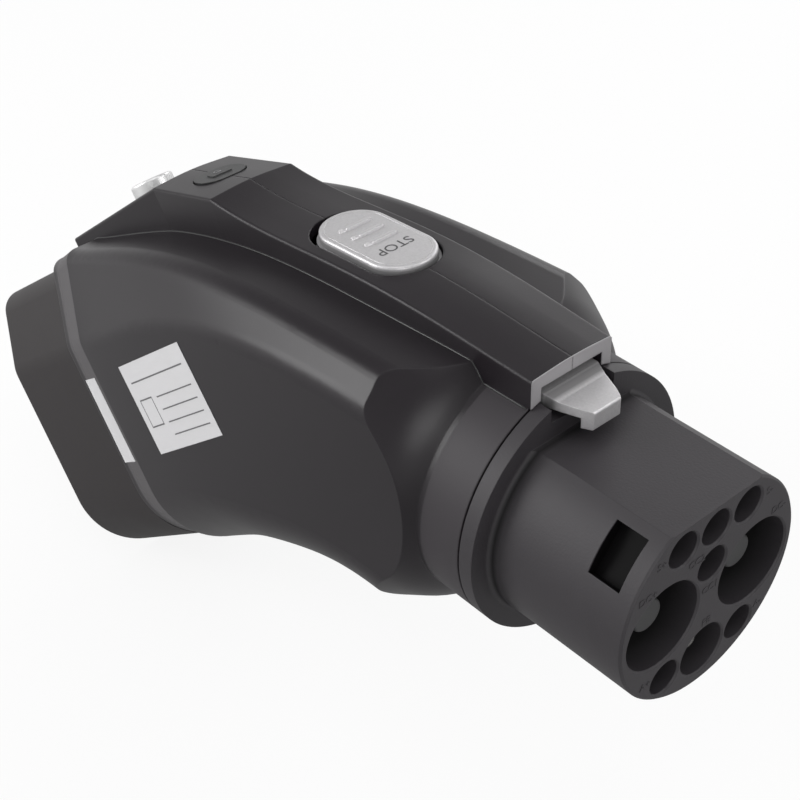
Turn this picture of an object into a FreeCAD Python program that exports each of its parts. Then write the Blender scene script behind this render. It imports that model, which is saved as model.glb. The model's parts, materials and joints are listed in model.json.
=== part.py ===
import FreeCAD, Part
import Sketcher
import math
import os

os.makedirs("parts", exist_ok=True)
doc = FreeCAD.newDocument("ChargingAdapter")
sheet = doc.addObject("Spreadsheet::Sheet", "Sizes")
Vector = FreeCAD.Vector


class Size:
    """A length or an angle: its number, and the expression over the sheet that gives it."""

    def __init__(self, number, text=None):
        self.number = float(number)
        self.text = text if text else repr(float(number))

    def __add__(self, other):
        other = as_size(other)
        return Size(self.number + other.number, f"({self.text} + {other.text})")

    def __sub__(self, other):
        other = as_size(other)
        return Size(self.number - other.number, f"({self.text} - {other.text})")

    def __mul__(self, other):
        other = as_size(other)
        return Size(self.number * other.number, f"({self.text} * {other.text})")

    def __truediv__(self, other):
        other = as_size(other)
        return Size(self.number / other.number, f"({self.text} / {other.text})")

    def __neg__(self):
        return Size(-self.number, f"(0 - {self.text})")

    def __radd__(self, other):
        return as_size(other) + self

    def __rsub__(self, other):
        return as_size(other) - self

    def __rmul__(self, other):
        return as_size(other) * self


def as_size(value):
    return value if isinstance(value, Size) else Size(value)


def sine(angle):
    angle = as_size(angle)
    return Size(math.sin(math.radians(angle.number)), f"sin({angle.text})")


def cosine(angle):
    angle = as_size(angle)
    return Size(math.cos(math.radians(angle.number)), f"cos({angle.text})")


def tangent(angle):
    return sine(angle) / cosine(angle)


def slope(rise, run):
    """The angle in degrees whose tangent is rise over run."""
    number = math.degrees(math.atan(rise.number / run.number))
    return Size(number, f"(atan({rise.text} / {run.text}) / 1 deg)")


rows = []


def size(name, number, note):
    """A driving dimension: one row of the sheet, with its name, its value and what it is."""
    rows.append(name)
    row = str(len(rows))
    sheet.set("A" + row, name)
    sheet.set("B" + row, str(number))
    sheet.set("C" + row, note)
    sheet.setAlias("B" + row, name)
    return Size(number, "Sizes." + name)


bound = []


def bind(thing, path, value):
    """Ties one property of a feature to its expression."""
    value = as_size(value)
    thing.setExpression(path, value.text)
    bound.append((thing, path, value.number))


class Frame:
    """A frame turned down about Y by an angle at a point of the XZ plane: a forward, y left seen from behind, z up."""

    def __init__(self, angle, x, z):
        self.angle = as_size(angle)
        self.x = as_size(x)
        self.z = as_size(z)

    def point(self, a, y, z):
        a, y, z = as_size(a), as_size(y), as_size(z)
        along = self.x + a * cosine(self.angle) - z * sine(self.angle)
        up = self.z + a * sine(self.angle) + z * cosine(self.angle)
        return along, y, up


def place(thing, frame, at, turn=0):
    """Puts a feature at a point of a frame, turned about Y by the frame's angle and its own."""
    x, y, z = frame.point(*at)
    angle = as_size(turn) - frame.angle
    thing.Placement = FreeCAD.Placement(
        Vector(x.number, y.number, z.number), FreeCAD.Rotation(Vector(0, 1, 0), angle.number)
    )
    for path, value in (("x", x), ("y", y), ("z", z)):
        bind(thing, "Placement.Base." + path, value)
    if abs(angle.number) > 1e-9:
        bind(thing, "Placement.Rotation.Angle", angle)
    return thing


def rod(name, frame, at, along, radius, length):
    """A cylinder from a point of a frame, along its x, y or z."""
    thing = doc.addObject("Part::Cylinder", name)
    bind(thing, "Radius", radius)
    bind(thing, "Height", length)
    if along == "y":
        x, y, z = frame.point(*at)
        thing.Placement = FreeCAD.Placement(
            Vector(x.number, y.number, z.number), FreeCAD.Rotation(Vector(1, 0, 0), -90)
        )
        for path, value in (("x", x), ("y", y), ("z", z)):
            bind(thing, "Placement.Base." + path, value)
        return thing
    return place(thing, frame, at, 90 if along == "x" else 0)


def funnel(name, frame, at, low_radius, high_radius, length):
    """A cone from a point of a frame, along its x."""
    thing = doc.addObject("Part::Cone", name)
    bind(thing, "Radius1", low_radius)
    bind(thing, "Radius2", high_radius)
    bind(thing, "Height", length)
    return place(thing, frame, at, 90)


def ring(name, at, radius, wire):
    """A torus round the Y direction."""
    thing = doc.addObject("Part::Torus", name)
    bind(thing, "Radius1", radius)
    bind(thing, "Radius2", wire)
    x, y, z = (as_size(value) for value in at)
    thing.Placement = FreeCAD.Placement(
        Vector(x.number, y.number, z.number), FreeCAD.Rotation(Vector(1, 0, 0), -90)
    )
    for path, value in (("x", x), ("y", y), ("z", z)):
        bind(thing, "Placement.Base." + path, value)
    return thing


def block(name, frame, low, high):
    """A box between two corners of a frame."""
    thing = doc.addObject("Part::Box", name)
    for path, start, stop in zip(("Length", "Width", "Height"), low, high):
        bind(thing, path, as_size(stop) - as_size(start))
    return place(thing, frame, low)


def join(name, *things):
    thing = doc.addObject("Part::MultiFuse", name)
    thing.Shapes = list(things)
    return thing


def meet(name, *things):
    thing = doc.addObject("Part::MultiCommon", name)
    thing.Shapes = list(things)
    return thing


def cut(name, base, *tools):
    tool = tools[0] if len(tools) == 1 else join(name + "_tools", *tools)
    thing = doc.addObject("Part::Cut", name)
    thing.Base = base
    thing.Tool = tool
    return thing


def new_body(name, frame=None, at=None, turn=0):
    body = doc.addObject("PartDesign::Body", name)
    if frame:
        place(body, frame, at or (0, 0, 0), turn)
    return body


def new_sketch(body, name, role, offset=None, lean=None):
    """A sketch on one of the body's own origin planes, moved along its normal, or leaning about Y."""
    sketch = body.newObject("Sketcher::SketchObject", name)
    plane = [item for item in body.Origin.OriginFeatures if item.Role == role][0]
    sketch.AttachmentSupport = (plane, [""])
    sketch.MapMode = "FlatFace"
    if lean:
        angle, x, z = lean
        sketch.AttachmentOffset = FreeCAD.Placement(
            Vector(0, z.number, x.number), FreeCAD.Rotation(Vector(1, 0, 0), -angle.number)
        )
        bind(sketch, "AttachmentOffset.Base.y", z)
        bind(sketch, "AttachmentOffset.Base.z", x)
        if abs(angle.number) > 1e-9:
            bind(sketch, "AttachmentOffset.Rotation.Angle", -angle)
    elif offset is not None:
        offset = as_size(offset)
        sketch.AttachmentOffset = FreeCAD.Placement(Vector(0, 0, offset.number), FreeCAD.Rotation())
        bind(sketch, "AttachmentOffset.Base.z", offset)
    return sketch


def pin_down(sketch, item, spot, p, q):
    """Fixes one point of a sketch at two bound coordinates."""
    for kind, value in (("DistanceX", p), ("DistanceY", q)):
        index = sketch.addConstraint(Sketcher.Constraint(kind, item, spot, value.number))
        bind(sketch, f"Constraints[{index}]", value)


def outline(sketch, corners):
    """A closed outline through its corners, each one sharp or rounded by its own radius."""
    corners = [[None if value is None else as_size(value) for value in corner] for corner in corners]
    count = len(corners)
    spots = [Vector(corner[0].number, corner[1].number, 0) for corner in corners]
    ends = []
    for index, corner in enumerate(corners):
        here = spots[index]
        into = (here - spots[index - 1]).normalize()
        out = (spots[(index + 1) % count] - here).normalize()
        radius = corner[2]
        if radius is None:
            ends.append((here, here, None))
            continue
        cross = into.x * out.y - into.y * out.x
        turn = math.atan2(abs(cross), into.dot(out))
        reach = radius.number * math.tan(turn / 2)
        start, stop = here - into * reach, here + out * reach
        side = 1 if cross > 0 else -1
        centre = start + Vector(-into.y, into.x, 0) * (side * radius.number)
        ends.append((start, stop, (centre, radius, side)))
    lines = []
    for index in range(count):
        line = Part.LineSegment(ends[index][1], ends[(index + 1) % count][0])
        lines.append(sketch.addGeometry(line, False))
    for index in range(count):
        before, after = lines[index - 1], lines[index]
        p, q = corners[index][0], corners[index][1]
        start, stop, bend = ends[index]
        if bend is None:
            sketch.addConstraint(Sketcher.Constraint("Coincident", before, 2, after, 1))
            pin_down(sketch, after, 1, p, q)
            continue
        centre, radius, side = bend
        first, last = (start, stop) if side > 0 else (stop, start)
        angles = [math.atan2(spot.y - centre.y, spot.x - centre.x) for spot in (first, last)]
        if angles[1] < angles[0]:
            angles[1] += 2 * math.pi
        circle = Part.Circle(centre, Vector(0, 0, 1), radius.number)
        arc = sketch.addGeometry(Part.ArcOfCircle(circle, angles[0], angles[1]), False)
        start_spot, stop_spot = (1, 2) if side > 0 else (2, 1)
        corner = sketch.addGeometry(Part.Point(spots[index]), True)
        sketch.addConstraint(Sketcher.Constraint("Tangent", before, 2, arc, start_spot))
        sketch.addConstraint(Sketcher.Constraint("Tangent", arc, stop_spot, after, 1))
        sketch.addConstraint(Sketcher.Constraint("PointOnObject", corner, 1, before))
        sketch.addConstraint(Sketcher.Constraint("PointOnObject", corner, 1, after))
        pin_down(sketch, corner, 1, p, q)
        number = sketch.addConstraint(Sketcher.Constraint("Radius", arc, radius.number))
        bind(sketch, f"Constraints[{number}]", radius)


def rounded_box(half_width, low, high, low_radius, high_radius):
    """Corners of an upright rectangle, symmetric about the middle plane."""
    return [
        (-half_width, low, low_radius),
        (half_width, low, low_radius),
        (half_width, high, high_radius),
        (-half_width, high, high_radius),
    ]


def shouldered(half, low, high, side, top_half, low_round, side_round, top_round, inset):
    """Corners of an outline whose sides lean in from a height up to the top, all moved inwards by an inset."""
    half, high, side, top_half = (as_size(value) for value in (half, high, side, top_half))
    lean = slope(half - top_half, high - side)
    side_low = side - inset * tangent(lean / 2)
    top_in = top_half - inset * tangent((90 - lean) / 2)
    right = [
        (half - inset, low + inset, low_round - inset),
        (half - inset, side_low, side_round - inset),
        (top_in, high - inset, top_round - inset),
    ]
    left = [(-y, z, radius) for y, z, radius in reversed(right)]
    return [left[-1]] + right + left[:-1]


def slab(name, frame, role, corners, start, length, at=None):
    """A padded outline: YZ runs along the frame's x, XZ along its y, XY upwards."""
    body = new_body(name, frame, at)
    start = as_size(start)
    length = as_size(length)
    offset = -(start + length) if role == "XZ_Plane" else start
    sketch = new_sketch(body, name + "_outline", role, offset)
    outline(sketch, corners)
    pad = body.newObject("PartDesign::Pad", name + "_pad")
    pad.Profile = sketch
    bind(pad, "Length", length)
    return body


def turned(name, frame, at, along, corners):
    """A turned piece: its half profile as radius and height, round the frame's x or z."""
    body = new_body(name, frame, at, 90 if along == "x" else 0)
    sketch = new_sketch(body, name + "_profile", "XZ_Plane")
    outline(sketch, corners)
    turn = body.newObject("PartDesign::Revolution", name + "_turn")
    turn.Profile = sketch
    turn.ReferenceAxis = (sketch, ["V_Axis"])
    turn.Angle = 360
    return body


def lofted(body, name, sketches, ruled):
    feature = body.newObject("PartDesign::AdditiveLoft", name)
    feature.Profile = sketches[0]
    feature.Sections = sketches[1:]
    feature.Ruled = ruled
    return feature


def height_over(frame, point):
    """Height of a point over the plane through a frame's origin, along the frame's z."""
    angle = math.radians(frame.angle.number)
    return (point.z - frame.z.number) * math.cos(angle) - (point.x - frame.x.number) * math.sin(angle)


def rounded(name, base, radius, chosen):
    """Rounds those edges of a finished piece that the test picks."""
    doc.recompute()
    thing = doc.addObject("Part::Fillet", name)
    thing.Base = base
    thing.Edges = [
        (number, radius.number, radius.number)
        for number, edge in enumerate(base.Shape.Edges, 1)
        if chosen(edge)
    ]
    return thing


pieces = []


def node(name, thing):
    """Names a finished piece, which is written to a file of that name."""
    thing.Label = name
    pieces.append((name, thing))
    return thing


# Plug nose: sizes along its axis are counted back from its face
nose_radius = size("nose_radius", 32, "round body of the plug nose")
nose_flat = size("nose_flat", 27.4, "height of the flat along its top")
nose_length = size("nose_length", 44.6, "face to flange")
nose_chamfer = size("nose_chamfer", 0.6, "bevel round the face")
root_radius = size("root_radius", 32.15, "root of the nose where it meets the flange")
root_round = size("root_round", 1.2, "hollow round between the nose and its flange")
root_spread = size("root_spread", 2.5, "outer edge of that round past the nose")
root_length = size("root_length", 11, "drafted root ahead of the flange")
flange_radius = size("flange_radius", 38.2, "round flange behind the nose")
flange_thick = size("flange_thick", 4.45, "flange along the axis")
flange_gap = size("flange_gap", 0.55, "shadow gap between flange and housing")
band_length = size("band_length", 14.1, "round band of the housing behind the flange")
spigot_radius = size("spigot_radius", 33.5, "part of the nose inside the housing")
spigot_reach = size("spigot_reach", 2.3, "spigot past the band")
key_radius = size("key_radius", 35, "collar that the halves clasp")
key_width = size("key_width", 3, "collar along the axis")
seat_gap = size("seat_gap", 0.3, "clearance between the spigot and its seat")
well_depth = size("well_depth", 38, "floor of the contact wells")
core_depth = size("core_depth", 46, "front end of the hollow behind the floor")
core_radius = size("core_radius", 30, "hollow inside the spigot")
well_bevel = size("well_bevel", 0.5, "bevel round each well")
hole_gap = size("hole_gap", 0.05, "radial clearance of a contact in its hole")

power_y = size("power_y", 16.73, "power wells, from the middle plane")
power_z = size("power_z", -1.2, "power wells, height")
power_well = size("power_well", 12.78, "power well radius")
power_pin = size("power_pin", 6, "power contact radius")
power_tip = size("power_tip", 9, "power contact tip behind the face")
power_tail = size("power_tail", 5, "power contact tail radius")
cap_radius = size("cap_radius", 4.8, "touch-proof cap")
cap_front = size("cap_front", 5, "cap behind the face")
cap_stem = size("cap_stem", 3, "stem of the cap")
cap_root = size("cap_root", 8, "stem length in the contact")
cap_round = size("cap_round", 0.7, "front edge of the cap")
signal_well = size("signal_well", 5.06, "small well radius")
signal_pin = size("signal_pin", 1.5, "small contact radius")
signal_tip = size("signal_tip", 7, "small contact tip behind the face")
earth_well = size("earth_well", 7.8, "earth well radius")
earth_z = size("earth_z", -20.95, "earth well, height")
earth_pin = size("earth_pin", 3, "earth contact radius")
earth_tip = size("earth_tip", 4, "earth contact tip behind the face")
tail_end = size("tail_end", 80, "tails of the large contacts behind the face")
signal_tail = size("signal_tail", 74, "tails of the small contacts behind the face")
collar_width = size("collar_width", 2.5, "collars that hold the contacts")
collar_step = size("collar_step", 1.2, "collar radius over its contact")

window_front = size("window_front", 4.8, "side window behind the face")
window_length = size("window_length", 9.9, "side window along the axis")
window_width = size("window_width", 14.4, "side window round the nose")
window_floor = size("window_floor", 28, "floor of the side window, from the axis")
window_turn = size("window_turn", 50, "side window, degrees from the top")

notch_half = size("notch_half", 11.2, "half width of the notch that the hook passes")
notch_floor = size("notch_floor", 32.5, "floor of that notch over the axis")

# Clamshell body: it bends down about a centre far below it
bend_x = size("bend_x", 90, "bend centre behind the face")
bend_z = size("bend_z", 130.5, "bend centre below the axis")
tilt = size("tilt", 36.5, "how far the rear is turned down")
wall = size("wall", 3, "housing wall")
seam = size("seam", 0.2, "gap between the halves")
front_half = size("front_half", 41, "half width at the front")
rear_half = size("rear_half", 42, "half width at the rear")
front_low = size("front_low", 88.5, "underside at the front, from the bend centre")
front_high = size("front_high", 169.5, "top at the front, from the bend centre")
third_low = size("third_low", 86.5, "underside a third of the way round")
third_high = size("third_high", 170.5, "top a third of the way round")
two_third_low = size("two_third_low", 85, "underside two thirds of the way round")
two_third_high = size("two_third_high", 176.8, "top two thirds of the way round")
rear_low = size("rear_low", 85.4, "underside after the bend")
rear_high = size("rear_high", 185.9, "top after the bend")
end_high = size("end_high", 195.1, "top where the body ends")
body_length = size("body_length", 44, "body after the bend")
edge_length = size("edge_length", 11, "narrowing edge behind the body")
edge_side = size("edge_side", 1.5, "how much the edge narrows")
edge_top = size("edge_top", 0.7, "how much the edge drops")
lip_length = size("lip_length", 4.5, "lip behind the edge")
front_side = size("front_side", 160.5, "lower edge of the shoulder at the front")
third_side = size("third_side", 160.5, "lower edge of the shoulder a third of the way round")
two_third_side = size("two_third_side", 162.5, "lower edge of the shoulder two thirds of the way round")
rear_side = size("rear_side", 165, "lower edge of the shoulder after the bend")
end_side = size("end_side", 166.5, "lower edge of the shoulder where the body ends")
top_half = size("top_half", 33, "half width of the top at the front")
top_half_end = size("top_half_end", 33, "half width of the top at the rear")
round_low = size("round_low", 18, "lower corners at the front")
round_side = size("round_side", 9, "lower edge of the shoulder, rounding at the front")
round_top = size("round_top", 8, "upper edge of the shoulder, rounding at the front")
round_low_end = size("round_low_end", 28, "lower corners at the rear")
round_side_end = size("round_side_end", 14, "lower edge of the shoulder, rounding at the rear")
round_top_end = size("round_top_end", 5, "upper edge of the shoulder, rounding at the rear")
dome_edge = size("dome_edge", 35.5, "front edge of the dome, from the axis")
dome_steep = size("dome_steep", 62, "dome slope at its front edge")
dome_shallow = size("dome_shallow", 29, "dome slope behind its curve")
dome_radius = size("dome_radius", 25.3, "curve of the dome")
dome_setback = size("dome_setback", 5.5, "inside of the dome behind its outside")
reach = size("reach", 200, "tools that pass right through")
ease = size("ease", 1, "tools past the faces that they cut or join")
merge = size("merge", 0.5, "how far joined forms run into each other")

nose = Frame(0, 0, 0)
rear = Frame(tilt, -bend_x, -bend_z)
flange_front = -nose_length
flange_back = flange_front - flange_thick
band_front = flange_back - flange_gap
band_back = band_front - band_length
spigot_back = band_back - spigot_reach
body_end = -body_length
edge_end = body_end - edge_length
lip_end = edge_end - lip_length

# Ridge along the top
ridge_half = size("ridge_half", 14.2, "half width of the ridge at its front")
ridge_half_bend = size("ridge_half_bend", 15.1, "half width at the bend")
ridge_half_button = size("ridge_half_button", 15.4, "half width from the large button to the peak")
ridge_half_knee = size("ridge_half_knee", 15, "half width where the sloping facet ends")
ridge_half_end = size("ridge_half_end", 22, "half width at its rear end")
ridge_start = size("ridge_start", 48.7, "front of the ridge behind the face")
ridge_front = size("ridge_front", 174.8, "ridge top at its front, from the bend centre")
ridge_bend = size("ridge_bend", 176, "ridge top at the bend")
ridge_button = size("ridge_button", 176.7, "ridge top ahead of the large button")
ridge_dip = size("ridge_dip", 181.4, "ridge top at its dip")
ridge_peak = size("ridge_peak", 192.2, "ridge top at its peak")
ridge_knee = size("ridge_knee", 200.9, "ridge top where the sloping facet ends")
ridge_end = size("ridge_end", 198.5, "ridge top at its rear end")
ridge_length = size("ridge_length", 58, "end of the ridge behind the bend")
knee_at = size("knee_at", 3, "end of the sloping facet behind the bend")
button_share = size("button_share", 0.225, "share of the bend ahead of the button")
dip_share = size("dip_share", 0.533, "share of the bend at the dip")
peak_share = size("peak_share", 0.765, "share of the bend at the peak")
crown = size("crown", 1, "crown of the ridge at the seam")
crown_round = size("crown_round", 110, "radius over the crown")
ridge_round = size("ridge_round", 0.8, "edges of the ridge")
ridge_wall = size("ridge_wall", 2.6, "top wall of the ridge")
ridge_side = size("ridge_side", 2.2, "side wall of the ridge")
ridge_base = size("ridge_base", 150, "root of the ridge, from the bend centre")
channel_half = size("channel_half", 10.8, "half width of the hook's channel")
channel_top = size("channel_top", 41, "ceiling of the hook's channel")
channel_back = size("channel_back", 97, "rear end of the channel behind the face")


def section(body, name, angle, a, corners):
    """A cross-section of the body on a plane through the bend centre, or moved along from it."""
    x, y, z = Frame(angle, -bend_x, -bend_z).point(a, 0, 0)
    sketch = new_sketch(body, name, "YZ_Plane", lean=(as_size(angle), x, z))
    outline(sketch, corners)
    return sketch


def body_corners(half, low, high, side, share, inset):
    """One outline of the body: its roundings run from their front values to their rear ones by a share."""
    return shouldered(
        half, low, high, side,
        top_half + (top_half_end - top_half) * share,
        round_low + (round_low_end - round_low) * share,
        round_side + (round_side_end - round_side) * share,
        round_top + (round_top_end - round_top) * share,
        inset,
    )


third_share = size("third_share", 0.05, "change of the roundings a third of the way round")
two_third_share = size("two_third_share", 0.2, "change of the roundings two thirds of the way round")
rear_share = size("rear_share", 0.5, "change of the roundings after the bend")


def body_sections(body, name, inset):
    """The cross-sections from the nose to where the body ends."""
    widening = rear_half - front_half
    stations = [
        (Size(0), bend_x + band_front, front_half, front_low, front_high, front_side, Size(0)),
        (Size(0), Size(0), front_half, front_low, front_high, front_side, Size(0)),
        (tilt / 3, Size(0), front_half + widening / 3, third_low, third_high, third_side, third_share),
        (
            tilt * 2 / 3, Size(0), front_half + widening * 2 / 3, two_third_low, two_third_high,
            two_third_side, two_third_share,
        ),
        (tilt, Size(0), rear_half, rear_low, rear_high, rear_side, rear_share),
        (tilt, body_end, rear_half, rear_low, end_high, end_side, Size(1)),
    ]
    return [
        section(body, f"{name}_section_{number}", angle, a, body_corners(half, low, high, side, share, inset))
        for number, (angle, a, half, low, high, side, share) in enumerate(stations)
    ]


def dome(name, setback):
    """The turned form that rounds the front of the body off towards the nose."""
    half_turn = (dome_steep - dome_shallow) / 2
    run = dome_radius * tangent(half_turn) + merge
    corner_x = -run * cosine(dome_steep)
    corner_r = dome_edge + run * sine(dome_steep)
    far_x = corner_x - reach * cosine(dome_shallow)
    far_r = corner_r + reach * sine(dome_shallow)
    corners = [
        (0, 0, None),
        (dome_edge, 0, None),
        (corner_r, corner_x, dome_radius),
        (far_r, far_x, None),
        (far_r, far_x - reach, None),
        (0, far_x - reach, None),
    ]
    return turned(name, nose, (band_back - setback, 0, 0), "x", corners)


def ridge_corners(half, top):
    return [
        (-half, ridge_base, None),
        (half, ridge_base, None),
        (half, top, ridge_round),
        (0, top + crown, crown_round),
        (-half, top, ridge_round),
    ]


def box_corners(half, low, high):
    return rounded_box(half, low, high, None, None)


# Outside of the body
outer_body = new_body("outer_body")
outer_sections = body_sections(outer_body, "outer", 0)
lofted(outer_body, "outer_bend", outer_sections, False)
edge_corners = shouldered(
    rear_half - edge_side, rear_low + edge_side, end_high - edge_top, end_side, top_half_end - edge_top,
    round_low_end, round_side_end, round_top_end, 0,
)
edge_section = section(outer_body, "edge_section", tilt, edge_end, edge_corners)
lofted(outer_body, "outer_edge", [outer_sections[-1], edge_section], True)
lip_section = section(outer_body, "lip_section", tilt, lip_end, edge_corners)
lofted(outer_body, "outer_lip", [edge_section, lip_section], True)

outer_ridge = new_body("outer_ridge")
ridge_stations = [
    (Size(0), bend_x - ridge_start, ridge_half, ridge_front),
    (Size(0), Size(0), ridge_half_bend, ridge_bend),
    (tilt * button_share, Size(0), ridge_half_button, ridge_button),
    (tilt * dip_share, Size(0), ridge_half_button, ridge_dip),
    (tilt * peak_share, Size(0), ridge_half_button, ridge_peak),
    (tilt, -knee_at, ridge_half_knee, ridge_knee),
    (tilt, -ridge_length, ridge_half_end, ridge_end),
]
ridge_sections = [
    section(outer_ridge, f"ridge_section_{number}", angle, a, ridge_corners(half, top))
    for number, (angle, a, half, top) in enumerate(ridge_stations)
]
lofted(outer_ridge, "ridge_front_run", ridge_sections[:5], False)
lofted(outer_ridge, "ridge_facet", ridge_sections[4:6], True)
lofted(outer_ridge, "ridge_rear_run", ridge_sections[5:7], True)

outer_band = rod("outer_band", nose, (band_back - wall, 0, 0), "x", flange_radius, band_length + wall)
front_trim = rod(
    "front_trim", nose, (band_front, 0, 0), "x", flange_radius + seat_gap, ridge_start
)
domed_body = meet("domed_body", outer_body, dome("outer_dome", 0))
outer = join("outer", domed_body, outer_band, outer_ridge)

# Hollow of the body
inner_body = new_body("inner_body")
inner_sections = body_sections(inner_body, "inner", wall)
lofted(inner_body, "inner_bend", inner_sections, False)
mouth_corners = body_corners(rear_half, rear_low, end_high, end_side, Size(1), wall)
mouth_section = section(inner_body, "mouth_section", tilt, lip_end - wall, mouth_corners)
lofted(inner_body, "inner_mouth", [inner_sections[-1], mouth_section], True)
domed_hollow = meet("domed_hollow", inner_body, dome("inner_dome", dome_setback))

ridge_hollow = new_body("ridge_hollow")
ridge_end_wall = size("ridge_end_wall", 2, "end wall of the ridge")
hollow_share = size("hollow_share", 0.05, "share of the bend where the ridge's hollow begins")
hollow_end = ridge_length - ridge_end_wall
hollow_stations = [
    (tilt * hollow_share, Size(0), ridge_half_bend, ridge_bend),
    (tilt * button_share, Size(0), ridge_half_button, ridge_button),
    (tilt * dip_share, Size(0), ridge_half_button, ridge_dip),
    (tilt * peak_share, Size(0), ridge_half_button, ridge_peak),
    (tilt, -knee_at, ridge_half_knee, ridge_knee),
    (tilt, -hollow_end, ridge_half_end - seat_gap, ridge_end),
]
hollow_sections = [
    section(
        ridge_hollow,
        f"hollow_section_{number}",
        angle,
        a,
        box_corners(half - ridge_side, ridge_base - wall, top - ridge_wall),
    )
    for number, (angle, a, half, top) in enumerate(hollow_stations)
]
lofted(ridge_hollow, "ridge_hollow_run", hollow_sections, True)

seat_radius = spigot_radius + seat_gap
seat_room = size("seat_room", 9, "seat behind the spigot")
seat_back = spigot_back - seat_room
seat = rod("seat", nose, (seat_back, 0, 0), "x", seat_radius, flange_front - seat_back)
key_at = (band_front + band_back) / 2
key_groove = rod(
    "key_groove", nose, (key_at - key_width / 2 - seat_gap, 0, 0), "x", key_radius + seat_gap,
    key_width + seat_gap * 2,
)
channel = block(
    "channel", nose, (-channel_back, -channel_half, notch_floor), (-nose_length, channel_half, channel_top)
)

# Rear socket hood: heights are counted from the underside of the body after the bend
hood_half = size("hood_half", 40, "half width of the hood")
hood_lift = size("hood_lift", 2, "underside of the hood over that of the body")
hood_height = size("hood_height", 104.3, "hood, bottom to top")
hood_low_round = size("hood_low_round", 26, "lower corners of the hood")
hood_side = size("hood_side", 165.5, "lower edge of the hood's shoulder, from the bend centre")
hood_top_half = size("hood_top_half", 31.7, "half width of the hood's top")
hood_side_round = size("hood_side_round", 14, "lower edge of the hood's shoulder, rounding")
hood_top_round = size("hood_top_round", 8, "upper edge of the hood's shoulder, rounding")
hood_wall = size("hood_wall", 3, "hood wall")
hood_rim = size("hood_rim", 117, "rim of the hood behind the bend")
hood_base = size("hood_base", 4, "base plate of the hood")
hood_front = size("hood_front", 45, "front of the base plate behind the bend")
spigot_wall = size("spigot_wall", 1.6, "hood wall inside the body")
clasp_step = size("clasp_step", 1.2, "collar of the hood that the halves clasp")
clasp_width = size("clasp_width", 2.5, "that collar along the socket's axis")
clasp_gap = size("clasp_gap", 0.25, "clearance round that collar")

hood_low = rear_low + hood_lift
hood_high = hood_low + hood_height
hood_step = lip_end


def hood_corners(step):
    """Outline of the hood's inside, stepped out by an amount."""
    return shouldered(
        hood_half, hood_low, hood_high, hood_side, hood_top_half,
        hood_low_round, hood_side_round, hood_top_round, hood_wall - step,
    )


clasp_groove = slab(
    "clasp_groove", rear, "YZ_Plane", hood_corners(spigot_wall + clasp_step + clasp_gap),
    -hood_front - clasp_width - clasp_gap, clasp_width + clasp_gap * 2,
)
hollow = join("hollow", domed_hollow, ridge_hollow, seat, key_groove, channel, clasp_groove)
shell = cut("shell", outer, hollow, front_trim)

# Screw towers, shelves and bosses inside the body
tower_radius = size("tower_radius", 4, "screw towers")
screw_radius = size("screw_radius", 1.5, "clamshell screws")
screw_head = size("screw_head", 2.8, "screw heads")
head_height = size("head_height", 2, "screw heads, height")
head_room = size("head_room", 3.4, "recesses over the screw heads")
head_at = size("head_at", 8, "seat of the screw heads from the seam")
screw_bite = size("screw_bite", 12, "screw length past the seam")
screw_room = size("screw_room", 2, "screw holes past the screws")
drive_share = size("drive_share", 0.42, "drive recess, share of the screw head")
front_tower_x = size("front_tower_x", 84, "front towers behind the face")
front_tower_z = size("front_tower_z", 34, "lower front tower under the axis")
top_tower_x = size("top_tower_x", 98, "upper front tower behind the face")
top_tower_z = size("top_tower_z", 24, "upper front tower over the axis")
tower_inset = size("tower_inset", 8, "rear towers from the underside")
rear_tower_a = size("rear_tower_a", 35, "rear towers behind the bend")
mid_tower_a = size("mid_tower_a", 10, "middle tower ahead of the bend centre")
high_tower_a = size("high_tower_a", 33, "upper rear tower behind the bend")
high_tower_z = size("high_tower_z", 97, "upper rear tower from the underside")

screw_spots = [
    (nose, -front_tower_x, -front_tower_z),
    (nose, -top_tower_x, top_tower_z),
    (rear, mid_tower_a, rear_low + tower_inset),
    (rear, -rear_tower_a, rear_low + tower_inset),
    (rear, -high_tower_a, rear_low + high_tower_z),
]
towers = []
screw_holes = []
screws = []
for number, (frame, a, z) in enumerate(screw_spots, 1):
    towers.append(rod(f"tower_{number}", frame, (a, -rear_half, z), "y", tower_radius, rear_half * 2))
    screw_holes.append(
        rod(
            f"screw_hole_{number}", frame, (a, -screw_bite - screw_room, z), "y",
            screw_radius + hole_gap, screw_bite + screw_room + head_at,
        )
    )
    screw_holes.append(rod(f"head_recess_{number}", frame, (a, head_at, z), "y", head_room, reach))
    shank = rod(
        f"shank_{number}", frame, (a, -screw_bite, z), "y", screw_radius, screw_bite + head_at
    )
    head = rod(f"head_{number}", frame, (a, head_at, z), "y", screw_head, head_height)
    drive = rod(
        f"drive_{number}", frame, (a, head_at + head_height / 2, z), "y", screw_head * drive_share, head_height
    )
    screws.append(cut(f"screw_{number}", join(f"screw_blank_{number}", shank, head), drive))

# Latch: a lever over the nose, its hook in front and its tail under the large button
pivot_x = size("pivot_x", 78, "latch pivot behind the face")
pivot_z = size("pivot_z", 36, "latch pivot over the axis")
pivot_pin = size("pivot_pin", 2, "latch pivot pin radius")
pivot_boss = size("pivot_boss", 4.2, "boss of the lever round the pin")
running_gap = size("running_gap", 0.06, "radial running clearance")
pin_fit = size("pin_fit", 0.01, "radial clearance of the pivot pins in the housing")
pin_end_gap = size("pin_end_gap", 0.1, "clearance at the ends of the pivot pins")
pin_seat = size("pin_seat", 2.4, "pin ends in the ridge's walls")
boss_reach = size("boss_reach", 6, "pivot blocks either side of the pin")
pivot_wall = size("pivot_wall", 5, "thickness of the pivot blocks")
hook_tip = size("hook_tip", 36.3, "tip of the hook behind the face")
hook_top = size("hook_top", 37, "top of the hook")
hook_low = size("hook_low", 31.4, "tip of the tooth")
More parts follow.
